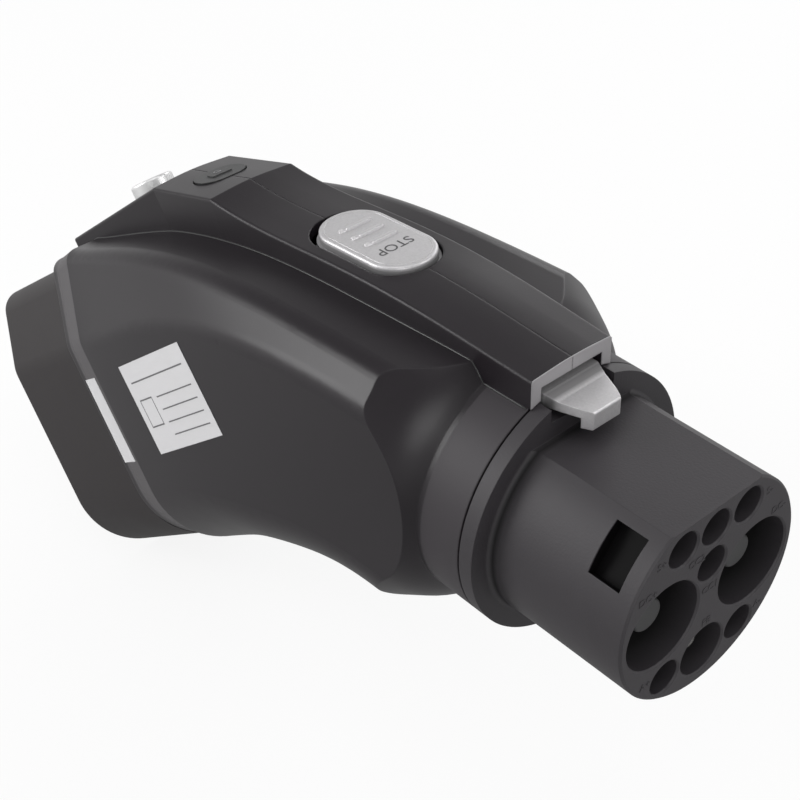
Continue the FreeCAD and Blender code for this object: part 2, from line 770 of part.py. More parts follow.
hook_under = size("hook_under", 34.5, "underside of the hook")
tooth_width = size("tooth_width", 3, "tooth along the axis")
hook_slope_back = size("hook_slope_back", 49, "rear end of the hook's slope")
hook_slope_front = size("hook_slope_front", 45, "front end of the hook's slope")
arm_top = size("arm_top", 38.4, "top of the lever's front arm")
lever_half = size("lever_half", 9.8, "half width of the lever")
hook_tip_half = size("hook_tip_half", 4.7, "half width at the hook's tip")
hook_tooth_half = size("hook_tooth_half", 6.3, "half width behind the tooth")
hook_waist_half = size("hook_waist_half", 8, "half width half way")
hook_waist_x = size("hook_waist_x", 43.8, "half way behind the face")
tail_top = size("tail_top", 34.6, "top of the lever's tail")
tail_thick = size("tail_thick", 3.2, "tail thickness")
tail_back = size("tail_back", 124, "end of the tail behind the face")
tail_start = size("tail_start", 92, "start of the tail behind the face")
tail_half = size("tail_half", 6, "half width of the tail")
lever_under = size("lever_under", 2.4, "underside of the lever under its pivot")
lever_step = size("lever_step", 0.3, "small steps in the lever's outline")
arm_start = size("arm_start", 9, "underside of the front arm, from the pivot")
hook_round = size("hook_round", 0.8, "top of the hook's tip")
tail_round = size("tail_round", 1.2, "top of the tail's end")
tooth_round = size("tooth_round", 0.5, "front edge of the tooth")

pivot_blocks = [
    block(
        f"pivot_block_{side}", nose,
        (-pivot_x - boss_reach, start, pivot_z - boss_reach),
        (-pivot_x + boss_reach, start + pivot_wall, pivot_z + boss_reach),
    )
    for side, start in (("right", -channel_half - pivot_wall), ("left", channel_half))
]
pivot_hole = rod(
    "pivot_hole", nose, (-pivot_x, -channel_half - pin_seat, pivot_z), "y",
    pivot_pin + pin_fit, (channel_half + pin_seat) * 2,
)

# Large stop button
stop_x = size("stop_x", 122.3, "middle of the stop button behind the face")
stop_z = size("stop_z", 46, "top of the stop button over the axis")
stop_lean = size("stop_lean", 4.5, "lean of the stop button")
stop_half_length = size("stop_half_length", 19.5, "top of the stop button, half length")
stop_half_width = size("stop_half_width", 10.5, "top of the stop button, half width")
stop_end = size("stop_end", 10.3, "top of the stop button, end radius")
stop_flare = size("stop_flare", 0.8, "how much the button widens to its base")
stop_base = size("stop_base", 3, "base of the button under its top")
stop_flange = size("stop_flange", 0.9, "flange under the ridge's top wall")
stop_flange_top = size("stop_flange_top", 6.5, "flange under the button's top")
stop_flange_thick = size("stop_flange_thick", 1.3, "flange thickness")
stop_foot = size("stop_foot", 10.9, "foot of the stem under the button's top")
stop_stem = size("stop_stem", 3, "stem radius")
stop_gap = size("stop_gap", 0.4, "clearance round the button")
stop_rear_gap = size("stop_rear_gap", 2.6, "further clearance behind the button")
stop_press = size("stop_press", 2.8, "travel of the stop button")
rib_half = size("rib_half", 5.5, "ribs on the button, half length")
rib_radius = size("rib_radius", 0.75, "ribs on the button")
rib_sunk = size("rib_sunk", 0.25, "middle of the ribs under the button's top")
rib_pitch = size("rib_pitch", 5.6, "ribs on the button, spacing")
rib_at = size("rib_at", 9.9, "last rib behind the button's middle")
button_round = size("button_round", 0.8, "edge of the metal buttons")
stem_ahead = size("stem_ahead", 3.3, "stem ahead of the button's middle")
stop_frame = Frame(stop_lean, -stop_x, stop_z)


def oblong(step, rear_step=0):
    step = as_size(step)
    return [
        (-stop_half_length - step - rear_step, -stop_half_width - step, stop_end + step),
        (stop_half_length + step, -stop_half_width - step, stop_end + step),
        (stop_half_length + step, stop_half_width + step, stop_end + step),
        (-stop_half_length - step - rear_step, stop_half_width + step, stop_end + step),
    ]


stop_slot = slab(
    "stop_slot", stop_frame, "XY_Plane", oblong(stop_flare + stop_gap, stop_rear_gap), -stop_foot, stop_foot * 2
)

# Oval button on the sloping facet
peak_x, peak_y, peak_z = Frame(tilt * peak_share, -bend_x, -bend_z).point(0, 0, ridge_peak)
knee_x, knee_y, knee_z = rear.point(-knee_at, 0, ridge_knee)
facet = Frame(slope(peak_z - knee_z, peak_x - knee_x), peak_x, peak_z)
key_middle = size("key_middle", 17, "middle of the oval button behind the peak")
key_half_length = size("key_half_length", 6.4, "oval button along the ridge")
key_half_width = size("key_half_width", 8.4, "oval button across the ridge")
key_end = size("key_end", 6.2, "oval button, corner radius")
key_top = size("key_top", 0.95, "oval button over the facet's edges")
key_flange_top = size("key_flange_top", 3.1, "its flange under the facet's edges")
key_flange_thick = size("key_flange_thick", 1.1, "its flange thickness")
key_flange = size("key_flange", 1, "its flange past the button")
key_foot = size("key_foot", 4.9, "its foot under the facet's edges")
key_stem = size("key_stem", 2, "its stem")
key_gap = size("key_gap", 0.35, "clearance round the oval button")
key_press = size("key_press", 1, "travel of the oval button")
switch_half = size("switch_half", 3, "key switch, half width")
switch_height = size("switch_height", 3, "key switch, height")
switch_top = size("switch_top", 6.7, "key switch under the facet's edges")
switch_plunger = size("switch_plunger", 1.2, "key switch plunger radius")
switch_rise = size("switch_rise", 0.45, "key switch plunger height")
board_thick = size("board_thick", 1.6, "circuit boards")
key_board_length = size("key_board_length", 8, "small board along the ridge, half length")
key_board_width = size("key_board_width", 10.5, "small board across, half width")
key_block = size("key_block", 3, "blocks under the small board")
key_block_half = size("key_block_half", 4, "those blocks along the ridge, half length")
key_block_width = size("key_block_width", 6, "those blocks across the ridge")


def oval(step):
    step = as_size(step)
    return [
        (-key_middle - key_half_length - step, -key_half_width - step, key_end + step),
        (-key_middle + key_half_length + step, -key_half_width - step, key_end + step),
        (-key_middle + key_half_length + step, key_half_width + step, key_end + step),
        (-key_middle - key_half_length - step, key_half_width + step, key_end + step),
    ]


key_slot = slab("key_slot", facet, "XY_Plane", oval(key_gap), -key_foot, key_foot * 2)
key_board_top = -switch_top - switch_height
key_board_low = key_board_top - board_thick
key_blocks = [
    block(
        f"key_block_{side}", facet,
        (-key_middle - key_block_half, start, key_board_low - key_block),
        (-key_middle + key_block_half, start + key_block_width, key_board_low),
    )
    for side, start in (("right", -ridge_half_button), ("left", ridge_half_button - key_block_width))
]

# Round unlock knob and the rocker under it
knob_at = size("knob_at", 31.5, "knob behind the bend")
knob_radius = size("knob_radius", 7.25, "unlock knob")
knob_top = size("knob_top", 205.3, "knob top, from the bend centre")
knob_flange_top = size("knob_flange_top", 196.4, "knob flange, from the bend centre")
knob_flange_thick = size("knob_flange_thick", 0.8, "knob flange thickness")
knob_flange = size("knob_flange", 0.95, "knob flange past the knob")
knob_foot = size("knob_foot", 193.4, "foot of the knob's stem, from the bend centre")
knob_stem = size("knob_stem", 2.5, "knob stem")
knob_round = size("knob_round", 0.95, "top edge of the knob")
knob_gap = size("knob_gap", 0.35, "clearance round the knob")
knob_press = size("knob_press", 1.8, "travel of the knob")
rocker_at = size("rocker_at", 41.5, "rocker pivot behind the bend")
rocker_z = size("rocker_z", 191.6, "rocker pivot, from the bend centre")
rocker_pin = size("rocker_pin", 1.5, "rocker pivot pin")
rocker_boss = size("rocker_boss", 2.5, "rocker boss")
rocker_low = size("rocker_low", 190.7, "underside of the rocker")
rocker_front_top = size("rocker_front_top", 193.05, "top of its front arm")
rocker_rear_top = size("rocker_rear_top", 192.3, "top of its rear arm")
rocker_front = size("rocker_front", 28, "front end behind the bend")
rocker_end = size("rocker_end", 53.8, "rear end behind the bend")
rocker_half = size("rocker_half", 3.5, "half width of the rocker")
rocker_tooth = size("rocker_tooth", 3.5, "tooth along the socket's axis")
rocker_slant = size("rocker_slant", 0.1, "step between its arms")
rocker_chamfer = size("rocker_chamfer", 0.4, "front end over the underside")
rocker_round_edge = size("rocker_round_edge", 0.5, "rounded corners of the rocker")
rocker_tip = size("rocker_tip", 186.1, "tip of the tooth, from the bend centre")
rocker_seat = size("rocker_seat", 9, "ends of the pivot holes from the middle plane")
rocker_block = size("rocker_block", 16, "blocks beside the rocker, across")
rocker_block_drop = size("rocker_block_drop", 4, "those blocks under the pivot")
rocker_gap = size("rocker_gap", 1, "clearance beside the rocker")
knob_well = rod(
    "knob_well", rear, (-knob_at, 0, knob_foot), "z", knob_radius + knob_gap, knob_top - knob_foot
)
rocker_blocks = [
    block(
        f"rocker_block_{side}", rear,
        (-rocker_at - rocker_boss, start, rocker_z - rocker_block_drop),
        (-rocker_at + rocker_boss, start + rocker_block, ridge_end),
    )
    for side, start in (("right", -rocker_half - rocker_gap - rocker_block), ("left", rocker_half + rocker_gap))
]
rocker_hole = rod(
    "rocker_hole", rear, (-rocker_at, -rocker_seat, rocker_z), "y", rocker_pin + pin_fit, rocker_seat * 2
)

# Shelves for the control board and the stop switch
board_low = size("board_low", 76.6, "control board from the underside")
board_front = size("board_front", 30, "control board ahead of the bend centre")
board_back = size("board_back", 26, "control board behind the bend centre")
board_half = size("board_half", 33, "control board, half width")
shelf_half = size("shelf_half", 30, "shelves from the middle plane")
shelf_near = size("shelf_near", 13, "shelves from the bend plane, near end")
shelf_far = size("shelf_far", 22, "shelves from the bend plane, far end")
shelf_thick = size("shelf_thick", 4, "shelf thickness")
stop_switch_x = size("stop_switch_x", 122, "stop switch behind the face")
stop_switch_top = size("stop_switch_top", 27, "top of the stop switch")
stop_switch_height = size("stop_switch_height", 6.5, "stop switch, height")
stop_switch_half = size("stop_switch_half", 6.4, "stop switch along the body, half length")
stop_switch_width = size("stop_switch_width", 3, "stop switch across, half width")
stop_switch_button = size("stop_switch_button", 0.7, "stop switch, height of its button")
stop_shelf_thick = size("stop_shelf_thick", 3, "bridge under the stop switch")
board_z = rear_low + board_low
shelves = []
for side, start, stop in (("left", -rear_half, -shelf_half), ("right", shelf_half, rear_half)):
    for spot, low_a, high_a in (("front", shelf_near, shelf_far), ("back", -shelf_far, -shelf_near)):
        shelves.append(
            block(f"shelf_{side}_{spot}", rear, (low_a, start, board_z - shelf_thick), (high_a, stop, board_z))
        )
stop_shelf_top = stop_switch_top - stop_switch_height
stop_shelf = block(
    "stop_shelf", nose,
    (-stop_switch_x - stop_switch_half - ease, -rear_half, stop_shelf_top - stop_shelf_thick),
    (-stop_switch_x + stop_switch_half + ease, rear_half, stop_shelf_top),
)

fittings = meet(
    "fittings", outer,
    join("fitting_blanks", *towers, *pivot_blocks, *key_blocks, *rocker_blocks, *shelves, stop_shelf),
)
housing = cut(
    "housing", join("full_shell", shell, fittings),
    *screw_holes, pivot_hole, stop_slot, key_slot, knob_well, rocker_hole,
)
left_side = block("left_side", nose, (-reach * 2, -reach, -reach), (0, -seam / 2, reach))
right_side = block("right_side", nose, (-reach * 2, seam / 2, -reach), (0, reach, reach))
node("housing_left", meet("housing_left", housing, left_side))
node("housing_right", meet("housing_right", housing, right_side))
node("housing_screws", join("housing_screws", *screws))

# Plug nose
wells = [
    ("dc_positive", -power_y, power_z, power_well, power_pin),
    ("dc_negative", power_y, power_z, power_well, power_pin),
    ("pe", Size(0), earth_z, earth_well, earth_pin),
]
cc_low_z = size("cc_low_z", 8.76, "lower middle signal well")
cc_high_z = size("cc_high_z", 20.6, "upper middle signal well")
s_y = size("s_y", 11.82, "upper side signal wells, from the middle plane")
s_z = size("s_z", 20.7, "upper side signal wells, height")
a_y = size("a_y", 14.17, "lower side signal wells, from the middle plane")
a_z = size("a_z", -21, "lower side signal wells, height")
signal_spots = [
    ("s_plus", -s_y, s_z),
    ("s_minus", s_y, s_z),
    ("cc1", Size(0), cc_high_z),
    ("cc2", Size(0), cc_low_z),
    ("a_plus", -a_y, a_z),
    ("a_minus", a_y, a_z),
]
wells += [(name, y, z, signal_well, signal_pin) for name, y, z in signal_spots]

barrel_back = flange_front + root_length
barrel = rod("barrel", nose, (barrel_back, 0, 0), "x", nose_radius, -barrel_back - nose_chamfer)
barrel_front = funnel("barrel_front", nose, (-nose_chamfer, 0, 0), nose_radius, nose_radius - nose_chamfer, nose_chamfer)
flat_cut = block("flat_cut", nose, (flange_front, -nose_radius, nose_flat), (reach, nose_radius, nose_flat + nose_radius))
root_corners = [
    (0, -merge, None),
    (nose_radius + root_spread, -merge, None),
    (nose_radius + root_spread, 0, None),
    (root_radius, 0, root_round),
    (nose_radius, root_length, None),
    (0, root_length, None),
]
root = turned("root", nose, (flange_front, 0, 0), "x", root_corners)
flat_barrel = cut("flat_barrel", join("round_barrel", barrel, barrel_front, root), flat_cut)
flange = rod("flange", nose, (flange_back, 0, 0), "x", flange_radius, flange_thick)
spigot = rod("spigot", nose, (spigot_back, 0, 0), "x", spigot_radius, flange_back - spigot_back)
key_ring = rod("key_ring", nose, (key_at - key_width / 2, 0, 0), "x", key_radius, key_width)
core = rod("core", nose, (spigot_back, 0, 0), "x", core_radius, -spigot_back - core_depth)
sleeve_wall = size("sleeve_wall", 2.6, "sleeves round the contacts behind the floor")
sleeves = []
nose_cuts = []
for name, y, z, well, pin in wells:
    sleeves.append(rod(name + "_sleeve", nose, (spigot_back, y, z), "x", pin + sleeve_wall, -spigot_back - core_depth))
    nose_cuts.append(rod(name + "_well", nose, (-well_depth, y, z), "x", well, well_depth + ease))
    nose_cuts.append(rod(name + "_hole", nose, (spigot_back, y, z), "x", pin + hole_gap, -spigot_back - well_depth))
    nose_cuts.append(funnel(name + "_bevel", nose, (-well_bevel, y, z), well, well + well_bevel, well_bevel))
hook_notch = block(
    "hook_notch", nose, (spigot_back, -notch_half, notch_floor), (flange_front, notch_half, flange_radius + ease)
)
window = doc.addObject("Part::Box", "window")
bind(window, "Length", window_length)
bind(window, "Width", window_width)
bind(window, "Height", nose_radius)
window_y = -window_floor * sine(window_turn) - window_width / 2 * cosine(window_turn)
window_z = window_floor * cosine(window_turn) - window_width / 2 * sine(window_turn)
window_x = -window_front - window_length
window.Placement = FreeCAD.Placement(
    Vector(window_x.number, window_y.number, window_z.number),
    FreeCAD.Rotation(Vector(1, 0, 0), window_turn.number),
)
for path, value in (("x", window_x), ("y", window_y), ("z", window_z)):
    bind(window, "Placement.Base." + path, value)
bind(window, "Placement.Rotation.Angle", window_turn)
hollow_core = cut("hollow_core", core, *sleeves)
nose_insulator = cut(
    "nose_insulator", join("nose_blank", flat_barrel, flange, spigot, key_ring),
    hollow_core, *nose_cuts, hook_notch, window,
)
node("nose_insulator", nose_insulator)


tip_share = size("tip_share", 0.45, "rounding of a contact's tip, share of its radius")


def contact(name, frame, tail, tip, y, z, radius, collar, tail_radius=None):
    """A turned contact from its tail to its tip, with a collar just behind the insulator."""
    tail, tip, collar = as_size(tail), as_size(tip), as_size(collar)
    tail_radius = tail_radius or radius
    way = 1 if tip.number > tail.number else -1
    origin = tail if way > 0 else tip
    ledge = collar - collar_width * way
    corners = [
        (0, tail - origin, None),
        (tail_radius, tail - origin, None),
        (tail_radius, ledge - origin, None),
        (radius + collar_step, ledge - origin, None),
        (radius + collar_step, collar - origin, None),
        (radius, collar - origin, None),
        (radius, tip - origin, radius * tip_share),
        (0, tip - origin, None),
    ]
    return turned(name, frame, (origin, y, z), "x", corners)


for side, sign in (("positive", -1), ("negative", 1)):
    name = f"dc_{side}_pin"
    blank = contact(
        name + "_blank", nose, -tail_end, -power_tip, power_y * sign, power_z, power_pin, spigot_back, power_tail
    )
    socket = rod(
        name + "_socket", nose, (-power_tip - cap_root - hole_gap, power_y * sign, power_z), "x",
        cap_stem + hole_gap, reach,
    )
    node(name, cut(name, blank, socket))
    cap_corners = [
        (0, 0, None),
        (cap_stem, 0, None),
        (cap_stem, cap_root, None),
        (cap_radius, cap_root, None),
        (cap_radius, cap_root + power_tip - cap_front, cap_round),
        (0, cap_root + power_tip - cap_front, None),
    ]
    cap_at = (-power_tip - cap_root, power_y * sign, power_z)
    node(f"dc_{side}_cap", turned(f"dc_{side}_cap", nose, cap_at, "x", cap_corners))

node("pe_pin", contact("pe_pin", nose, -tail_end, -earth_tip, 0, earth_z, earth_pin, spigot_back))
for name, y, z in signal_spots:
    name = "signal_pin_" + name
    node(name, contact(name, nose, -signal_tail, -signal_tip, y, z, signal_pin, spigot_back))

# Latch lever, its pin and its spring
side_profile = [
    (-hook_tip, hook_top, hook_round),
    (-hook_slope_front, hook_top + lever_step, None),
    (-hook_slope_back, arm_top, None),
    (-pivot_x - boss_reach, arm_top, None),
    (-tail_start, tail_top + lever_step, None),
    (-tail_back, tail_top, tail_round),
    (-tail_back, tail_top - tail_thick, None),
    (-tail_start, tail_top - tail_thick, None),
    (-pivot_x - boss_reach, pivot_z - lever_under, None),
    (-pivot_x + boss_reach, pivot_z - lever_under, None),
    (-pivot_x + arm_start, hook_under + lever_step, None),
    (-hook_tip - tooth_width, hook_under, None),
    (-hook_tip - tooth_width, hook_low, None),
    (-hook_tip, hook_low, tooth_round),
]
plan_half = [
    (-hook_tip, hook_tip_half),
    (-hook_tip - tooth_width, hook_tooth_half),
    (-hook_waist_x, hook_waist_half),
    (-hook_slope_back, lever_half),
    (-pivot_x - boss_reach, lever_half),
    (-tail_start, tail_half),
    (-tail_back, tail_half),
]
plan_profile = [(x, half, None) for x, half in plan_half] + [(x, -half, None) for x, half in reversed(plan_half)]
lever_side = slab("lever_side", nose, "XZ_Plane", side_profile, -lever_half, lever_half * 2)
lever_plan = slab("lever_plan", nose, "XY_Plane", plan_profile, hook_low - boss_reach, channel_top - hook_low + boss_reach)
lever_boss = rod("lever_boss", nose, (-pivot_x, -lever_half, pivot_z), "y", pivot_boss, lever_half * 2)
spring_half = size("spring_half", 3, "gap in the lever for its spring, half width")
spring_reach = size("spring_reach", 6.2, "gap in the lever for its spring, along the lever")
spring_gap = block(
    "spring_gap", nose,
    (-pivot_x - spring_reach, -spring_half, pivot_z - spring_reach),
    (-pivot_x + spring_reach, spring_half, pivot_z + spring_reach),
)
lever_hole = rod("lever_hole", nose, (-pivot_x, -reach, pivot_z), "y", pivot_pin + running_gap, reach * 2)
latch_lever = cut(
    "latch_lever", join("lever_blank", meet("lever_form", lever_side, lever_plan), lever_boss), spring_gap, lever_hole
)
node("latch_lever", latch_lever)
pin_half = channel_half + pin_seat - pin_end_gap
node("latch_pivot_pin", rod("latch_pivot_pin", nose, (-pivot_x, -pin_half, pivot_z), "y", pivot_pin, pin_half * 2))
spring_wire = size("spring_wire", 0.4, "spring wire radius")
spring_coil = size("spring_coil", 2.75, "spring coil, to the middle of its wire")
spring_leg = size("spring_leg", 17, "spring leg under the front arm")
spring_pitch = size("spring_pitch", 0.76, "spring coils, spacing")
coils = [
    ring(f"coil_{number}", (-pivot_x, spring_pitch * number, pivot_z), spring_coil, spring_wire)
    for number in (-1, 0, 1)
]
front_leg = rod(
    "front_leg", nose, (-pivot_x, spring_pitch, pivot_z - spring_coil), "x", spring_wire, spring_leg
)
rear_leg = rod(
    "rear_leg", nose, (-pivot_x - spring_reach + seat_gap, -spring_pitch, pivot_z + spring_coil), "x",
    spring_wire, spring_reach - seat_gap,
)
node("latch_spring", join("latch_spring", *coils, front_leg, rear_leg))

# Stop button and its switch
stop_base_body = slab(
    "stop_base_body", stop_frame, "XY_Plane", oblong(stop_flare), -stop_flange_top - merge,
    stop_flange_top + merge - stop_base,
)
stop_cap = slab("stop_cap", stop_frame, "XY_Plane", oblong(0), -stop_base - merge, stop_base + merge)
stop_cap_round = rounded(
    "stop_cap_round", stop_cap, button_round,
    lambda edge: min(height_over(stop_frame, vertex.Point) for vertex in edge.Vertexes) > -merge.number,
)
stop_flange_body = slab(
    "stop_flange_body", stop_frame, "XY_Plane", oblong(stop_flare + stop_flange),
    -stop_flange_top - stop_flange_thick, stop_flange_thick,
)
stop_stem_body = rod("stop_stem_body", stop_frame, (stem_ahead, 0, -stop_foot), "z", stop_stem, stop_foot - stop_flange_top)
ribs = [
    rod(
        f"rib_{number}", stop_frame, (-rib_at + rib_pitch * number, -rib_half, -rib_sunk), "y",
        rib_radius, rib_half * 2,
    )
    for number in range(3)
]
node("stop_button", join("stop_button", stop_base_body, stop_cap_round, stop_flange_body, stop_stem_body, *ribs))
switch_body = block(
    "switch_body", nose,
    (-stop_switch_x - stop_switch_half, -stop_switch_width, stop_shelf_top),
    (-stop_switch_x + stop_switch_half, stop_switch_width, stop_switch_top),
)
switch_button = rod(
    "switch_button", nose, (-stop_switch_x, 0, stop_switch_top), "z", switch_plunger, stop_switch_button
)
node("stop_switch", join("stop_switch", switch_body, switch_button))

# Oval button, its switch and its board
key_body = slab("key_body", facet, "XY_Plane", oval(0), -key_flange_top - merge, key_flange_top + key_top + merge)
key_flange_body = slab(
    "key_flange_body", facet, "XY_Plane", oval(key_flange), -key_flange_top - key_flange_thick, key_flange_thick
)
key_stem_body = rod("key_stem_body", facet, (-key_middle, 0, -key_foot), "z", key_stem, key_foot - key_flange_top)
tab_half = size("tab_half", 3.5, "raised tab on the oval button, half width")
tab_length = size("tab_length", 1.8, "raised tab along the ridge, half length")
tab_rise = size("tab_rise", 0.35, "raised tab over the oval button")
tab = block(
    "tab", facet, (-key_middle - tab_length, -tab_half, 0), (-key_middle + tab_length, tab_half, key_top + tab_rise)
)
node("power_button", join("power_button", key_body, key_flange_body, key_stem_body, tab))
key_switch = block(
    "key_switch", facet, (-key_middle - switch_half, -switch_half, key_board_top),
    (-key_middle + switch_half, switch_half, -switch_top),
)
key_plunger = rod("key_plunger", facet, (-key_middle, 0, -switch_top), "z", switch_plunger, switch_rise)
node("power_switch", join("power_switch", key_switch, key_plunger))
node(
    "power_switch_board",
    block(
        "power_switch_board", facet, (-key_middle - key_board_length, -key_board_width, key_board_low),
        (-key_middle + key_board_length, key_board_width, key_board_top),
    ),
)

# Unlock knob, the rocker under it and the rocker's pin
knob_corners = [
    (0, 0, None),
    (knob_stem, 0, None),
    (knob_stem, knob_flange_top - knob_flange_thick - knob_foot, None),
    (knob_radius + knob_flange, knob_flange_top - knob_flange_thick - knob_foot, None),
    (knob_radius + knob_flange, knob_flange_top - knob_foot, None),
    (knob_radius, knob_flange_top - knob_foot, None),
    (knob_radius, knob_top - knob_foot, knob_round),
    (0, knob_top - knob_foot, None),
]
node("unlock_button", turned("unlock_button", rear, (-knob_at, 0, knob_foot), "z", knob_corners))
rocker_profile = [
    (-rocker_front, rocker_low + rocker_chamfer, rocker_round_edge),
    (-rocker_front, rocker_front_top, rocker_round_edge),
    (-rocker_at, rocker_front_top, None),
    (-rocker_at - rocker_slant, rocker_rear_top, None),
    (-rocker_end, rocker_rear_top, rocker_round_edge),
    (-rocker_end, rocker_tip, rocker_round_edge),
    (-rocker_end + rocker_tooth, rocker_tip, rocker_round_edge),
    (-rocker_end + rocker_tooth, rocker_low, None),
    (-rocker_at, rocker_low, None),
]
rocker_side = slab("rocker_side", rear, "XZ_Plane", rocker_profile, -rocker_half, rocker_half * 2)
rocker_round = rod("rocker_round", rear, (-rocker_at, -rocker_half, rocker_z), "y", rocker_boss, rocker_half * 2)
rocker_bore = rod("rocker_bore", rear, (-rocker_at, -reach, rocker_z), "y", rocker_pin + running_gap, reach * 2)
node("lock_lever", cut("lock_lever", join("rocker_blank", rocker_side, rocker_round), rocker_bore))
rocker_pin_half = rocker_seat - pin_end_gap
node(
    "lock_pivot_pin",
    rod("lock_pivot_pin", rear, (-rocker_at, -rocker_pin_half, rocker_z), "y", rocker_pin, rocker_pin_half * 2),
)

# Rear socket: block, seal and hood
socket_z = size("socket_z", 68, "round part of the socket, from the underside")
socket_radius = size("socket_radius", 27, "round part of the socket")
socket_flat = size("socket_flat", 21, "flat on top of the round part, from its middle")
pair_z = size("pair_z", 30, "power wells of the socket, from the underside")
pair_y = size("pair_y", 13.5, "power wells of the socket, from the middle plane")
pair_half = size("pair_half", 27, "lower block of the socket, half width")
pair_low = size("pair_low", 13, "lower block, bottom from the underside")
pair_high = size("pair_high", 48, "lower block, top from the underside")
pair_round = size("pair_round", 12, "lower block, corners")
socket_front = size("socket_front", 106, "face of the socket behind the bend")
socket_floor = size("socket_floor", 60, "floor of its wells behind the bend")
plate_thick = size("plate_thick", 4, "mounting plate of the socket")
seal_thick = size("seal_thick", 1, "seal under the mounting plate")
plate_half = size("plate_half", 34, "mounting plate, half width")
plate_low = size("plate_low", 6.1, "mounting plate, bottom from the underside")
plate_high = size("plate_high", 98.6, "mounting plate, top from the underside")
plate_round = size("plate_round", 14, "mounting plate, corners")
pair_well = size("pair_well", 9.5, "power wells of the socket")
pair_pin = size("pair_pin", 4, "power contacts of the socket")
small_well = size("small_well", 5.8, "round wells of the socket")
pilot_well = size("pilot_well", 4.4, "pilot wells of the socket")
contact_setback = size("contact_setback", 6, "power contact tips behind the face of the socket")
earth_setback = size("earth_setback", 8, "earth contact tip behind the face of the socket")
pilot_setback = size("pilot_setback", 10, "pilot contact tips behind the face of the socket")
inlet_tail = size("inlet_tail", 31, "tails of the socket's large contacts behind the bend")
pilot_tail = size("pilot_tail", 34, "tails of its pilot contacts behind the bend")
open_gap = size("open_gap", 0.4, "opening of the hood round the socket")
slot_step = size("slot_step", 0.6, "slot for the rocker behind the base plate")
slot_room = size("slot_room", 2, "slot behind the rocker")
pilot_y = size("pilot_y", 8.5, "pilot wells, from the middle plane")
pilot_z = size("pilot_z", 13.2, "pilot wells over the middle of the round part")
phase_y = size("phase_y", 16.2, "side wells, from the middle plane")
lower_y = size("lower_y", 8.8, "lower wells, from the middle plane")
lower_z = size("lower_z", 14.2, "lower wells under the middle of the round part")

socket_mid = rear_low + socket_z
pair_mid = rear_low + pair_z
plate_back = -hood_front
seal_front = plate_back + seal_thick
plate_front = seal_front + plate_thick


def socket_form(name, start, length, step):
    """The socket's outline, stepped out by an amount: a flat-topped round part over a wide block."""
    step = as_size(step)
    upper = rod(name + "_round", rear, (start, 0, socket_mid), "x", socket_radius + step, length)
    flat = block(
        name + "_flat", rear, (start, -socket_radius * 2, socket_mid + socket_flat + step),
        (as_size(start) + length, socket_radius * 2, socket_mid + socket_radius * 2),
    )
    lower = slab(
        name + "_wide", rear, "YZ_Plane",
        rounded_box(pair_half + step, rear_low + pair_low - step, rear_low + pair_high + step, pair_round, pair_round),
        start, length,
    )
    return join(name, cut(name + "_top", upper, flat), lower)


plate_outline = rounded_box(plate_half, rear_low + plate_low, rear_low + plate_high, plate_round, plate_round)
plate = slab("plate", rear, "YZ_Plane", plate_outline, seal_front, plate_thick)
tower = socket_form("socket_tower", -socket_front, plate_front + socket_front, 0)
socket_wells = [
    ("socket_dc_positive", -pair_y, pair_mid, pair_well, pair_pin),
    ("socket_dc_negative", pair_y, pair_mid, pair_well, pair_pin),
    ("socket_pe", Size(0), socket_mid, small_well, earth_pin),
    ("socket_pp", -pilot_y, socket_mid + pilot_z, pilot_well, signal_pin),
    ("socket_cp", pilot_y, socket_mid + pilot_z, pilot_well, signal_pin),
    ("socket_side_left", -phase_y, socket_mid, small_well, None),
    ("socket_side_right", phase_y, socket_mid, small_well, None),
    ("socket_low_left", -lower_y, socket_mid - lower_z, small_well, None),
    ("socket_low_right", lower_y, socket_mid - lower_z, small_well, None),
]
socket_cuts = []
for name, y, z, well, pin in socket_wells:
    socket_cuts.append(rod(name + "_well", rear, (-socket_front - ease, y, z), "x", well, socket_front + ease - socket_floor))
    if pin:
        socket_cuts.append(rod(name + "_hole", rear, (-socket_floor, y, z), "x", pin + hole_gap, socket_floor))
plate_screw_y = size("plate_screw_y", 29, "lower plate screws, from the middle plane")
plate_screw_z = size("plate_screw_z", 55.6, "lower plate screws, from the underside")
plate_screw_high_y = size("plate_screw_high_y", 24, "upper plate screws, from the middle plane")
plate_screw_high_z = size("plate_screw_high_z", 93.1, "upper plate screws, from the underside")
plate_screw_head = size("plate_screw_head", 2.7, "plate screw heads")
plate_screw_length = size("plate_screw_length", 8, "plate screws under their heads")
plate_spots = [
    (y * sign, rear_low + z)
    for y, z in ((plate_screw_y, plate_screw_z), (plate_screw_high_y, plate_screw_high_z))
    for sign in (1, -1)
]
plate_holes = []
plate_screws = []
for number, (y, z) in enumerate(plate_spots, 1):
    back = plate_front - plate_screw_length
    plate_holes.append(
        rod(f"plate_hole_{number}", rear, (back - seat_gap, y, z), "x", screw_radius + hole_gap, plate_screw_length + ease)
    )
    shank = rod(f"plate_shank_{number}", rear, (back, y, z), "x", screw_radius, plate_screw_length)
    head = rod(f"plate_head_{number}", rear, (plate_front, y, z), "x", plate_screw_head, head_height)
    drive = rod(
        f"plate_drive_{number}", rear, (plate_front + head_height / 2, y, z), "x",
        plate_screw_head * drive_share, head_height,
    )
    plate_screws.append(cut(f"plate_screw_{number}", join(f"plate_screw_blank_{number}", shank, head), drive))
node("inlet_insulator", cut("inlet_insulator", join("socket_blank", plate, tower), *socket_cuts, *plate_holes))
seal = slab("seal", rear, "YZ_Plane", plate_outline, plate_back, seal_thick)
seal_hole = socket_form("seal_hole", plate_back - ease, seal_thick + ease * 2, open_gap)
node("inlet_gasket", cut("inlet_gasket", seal, seal_hole, *plate_holes))
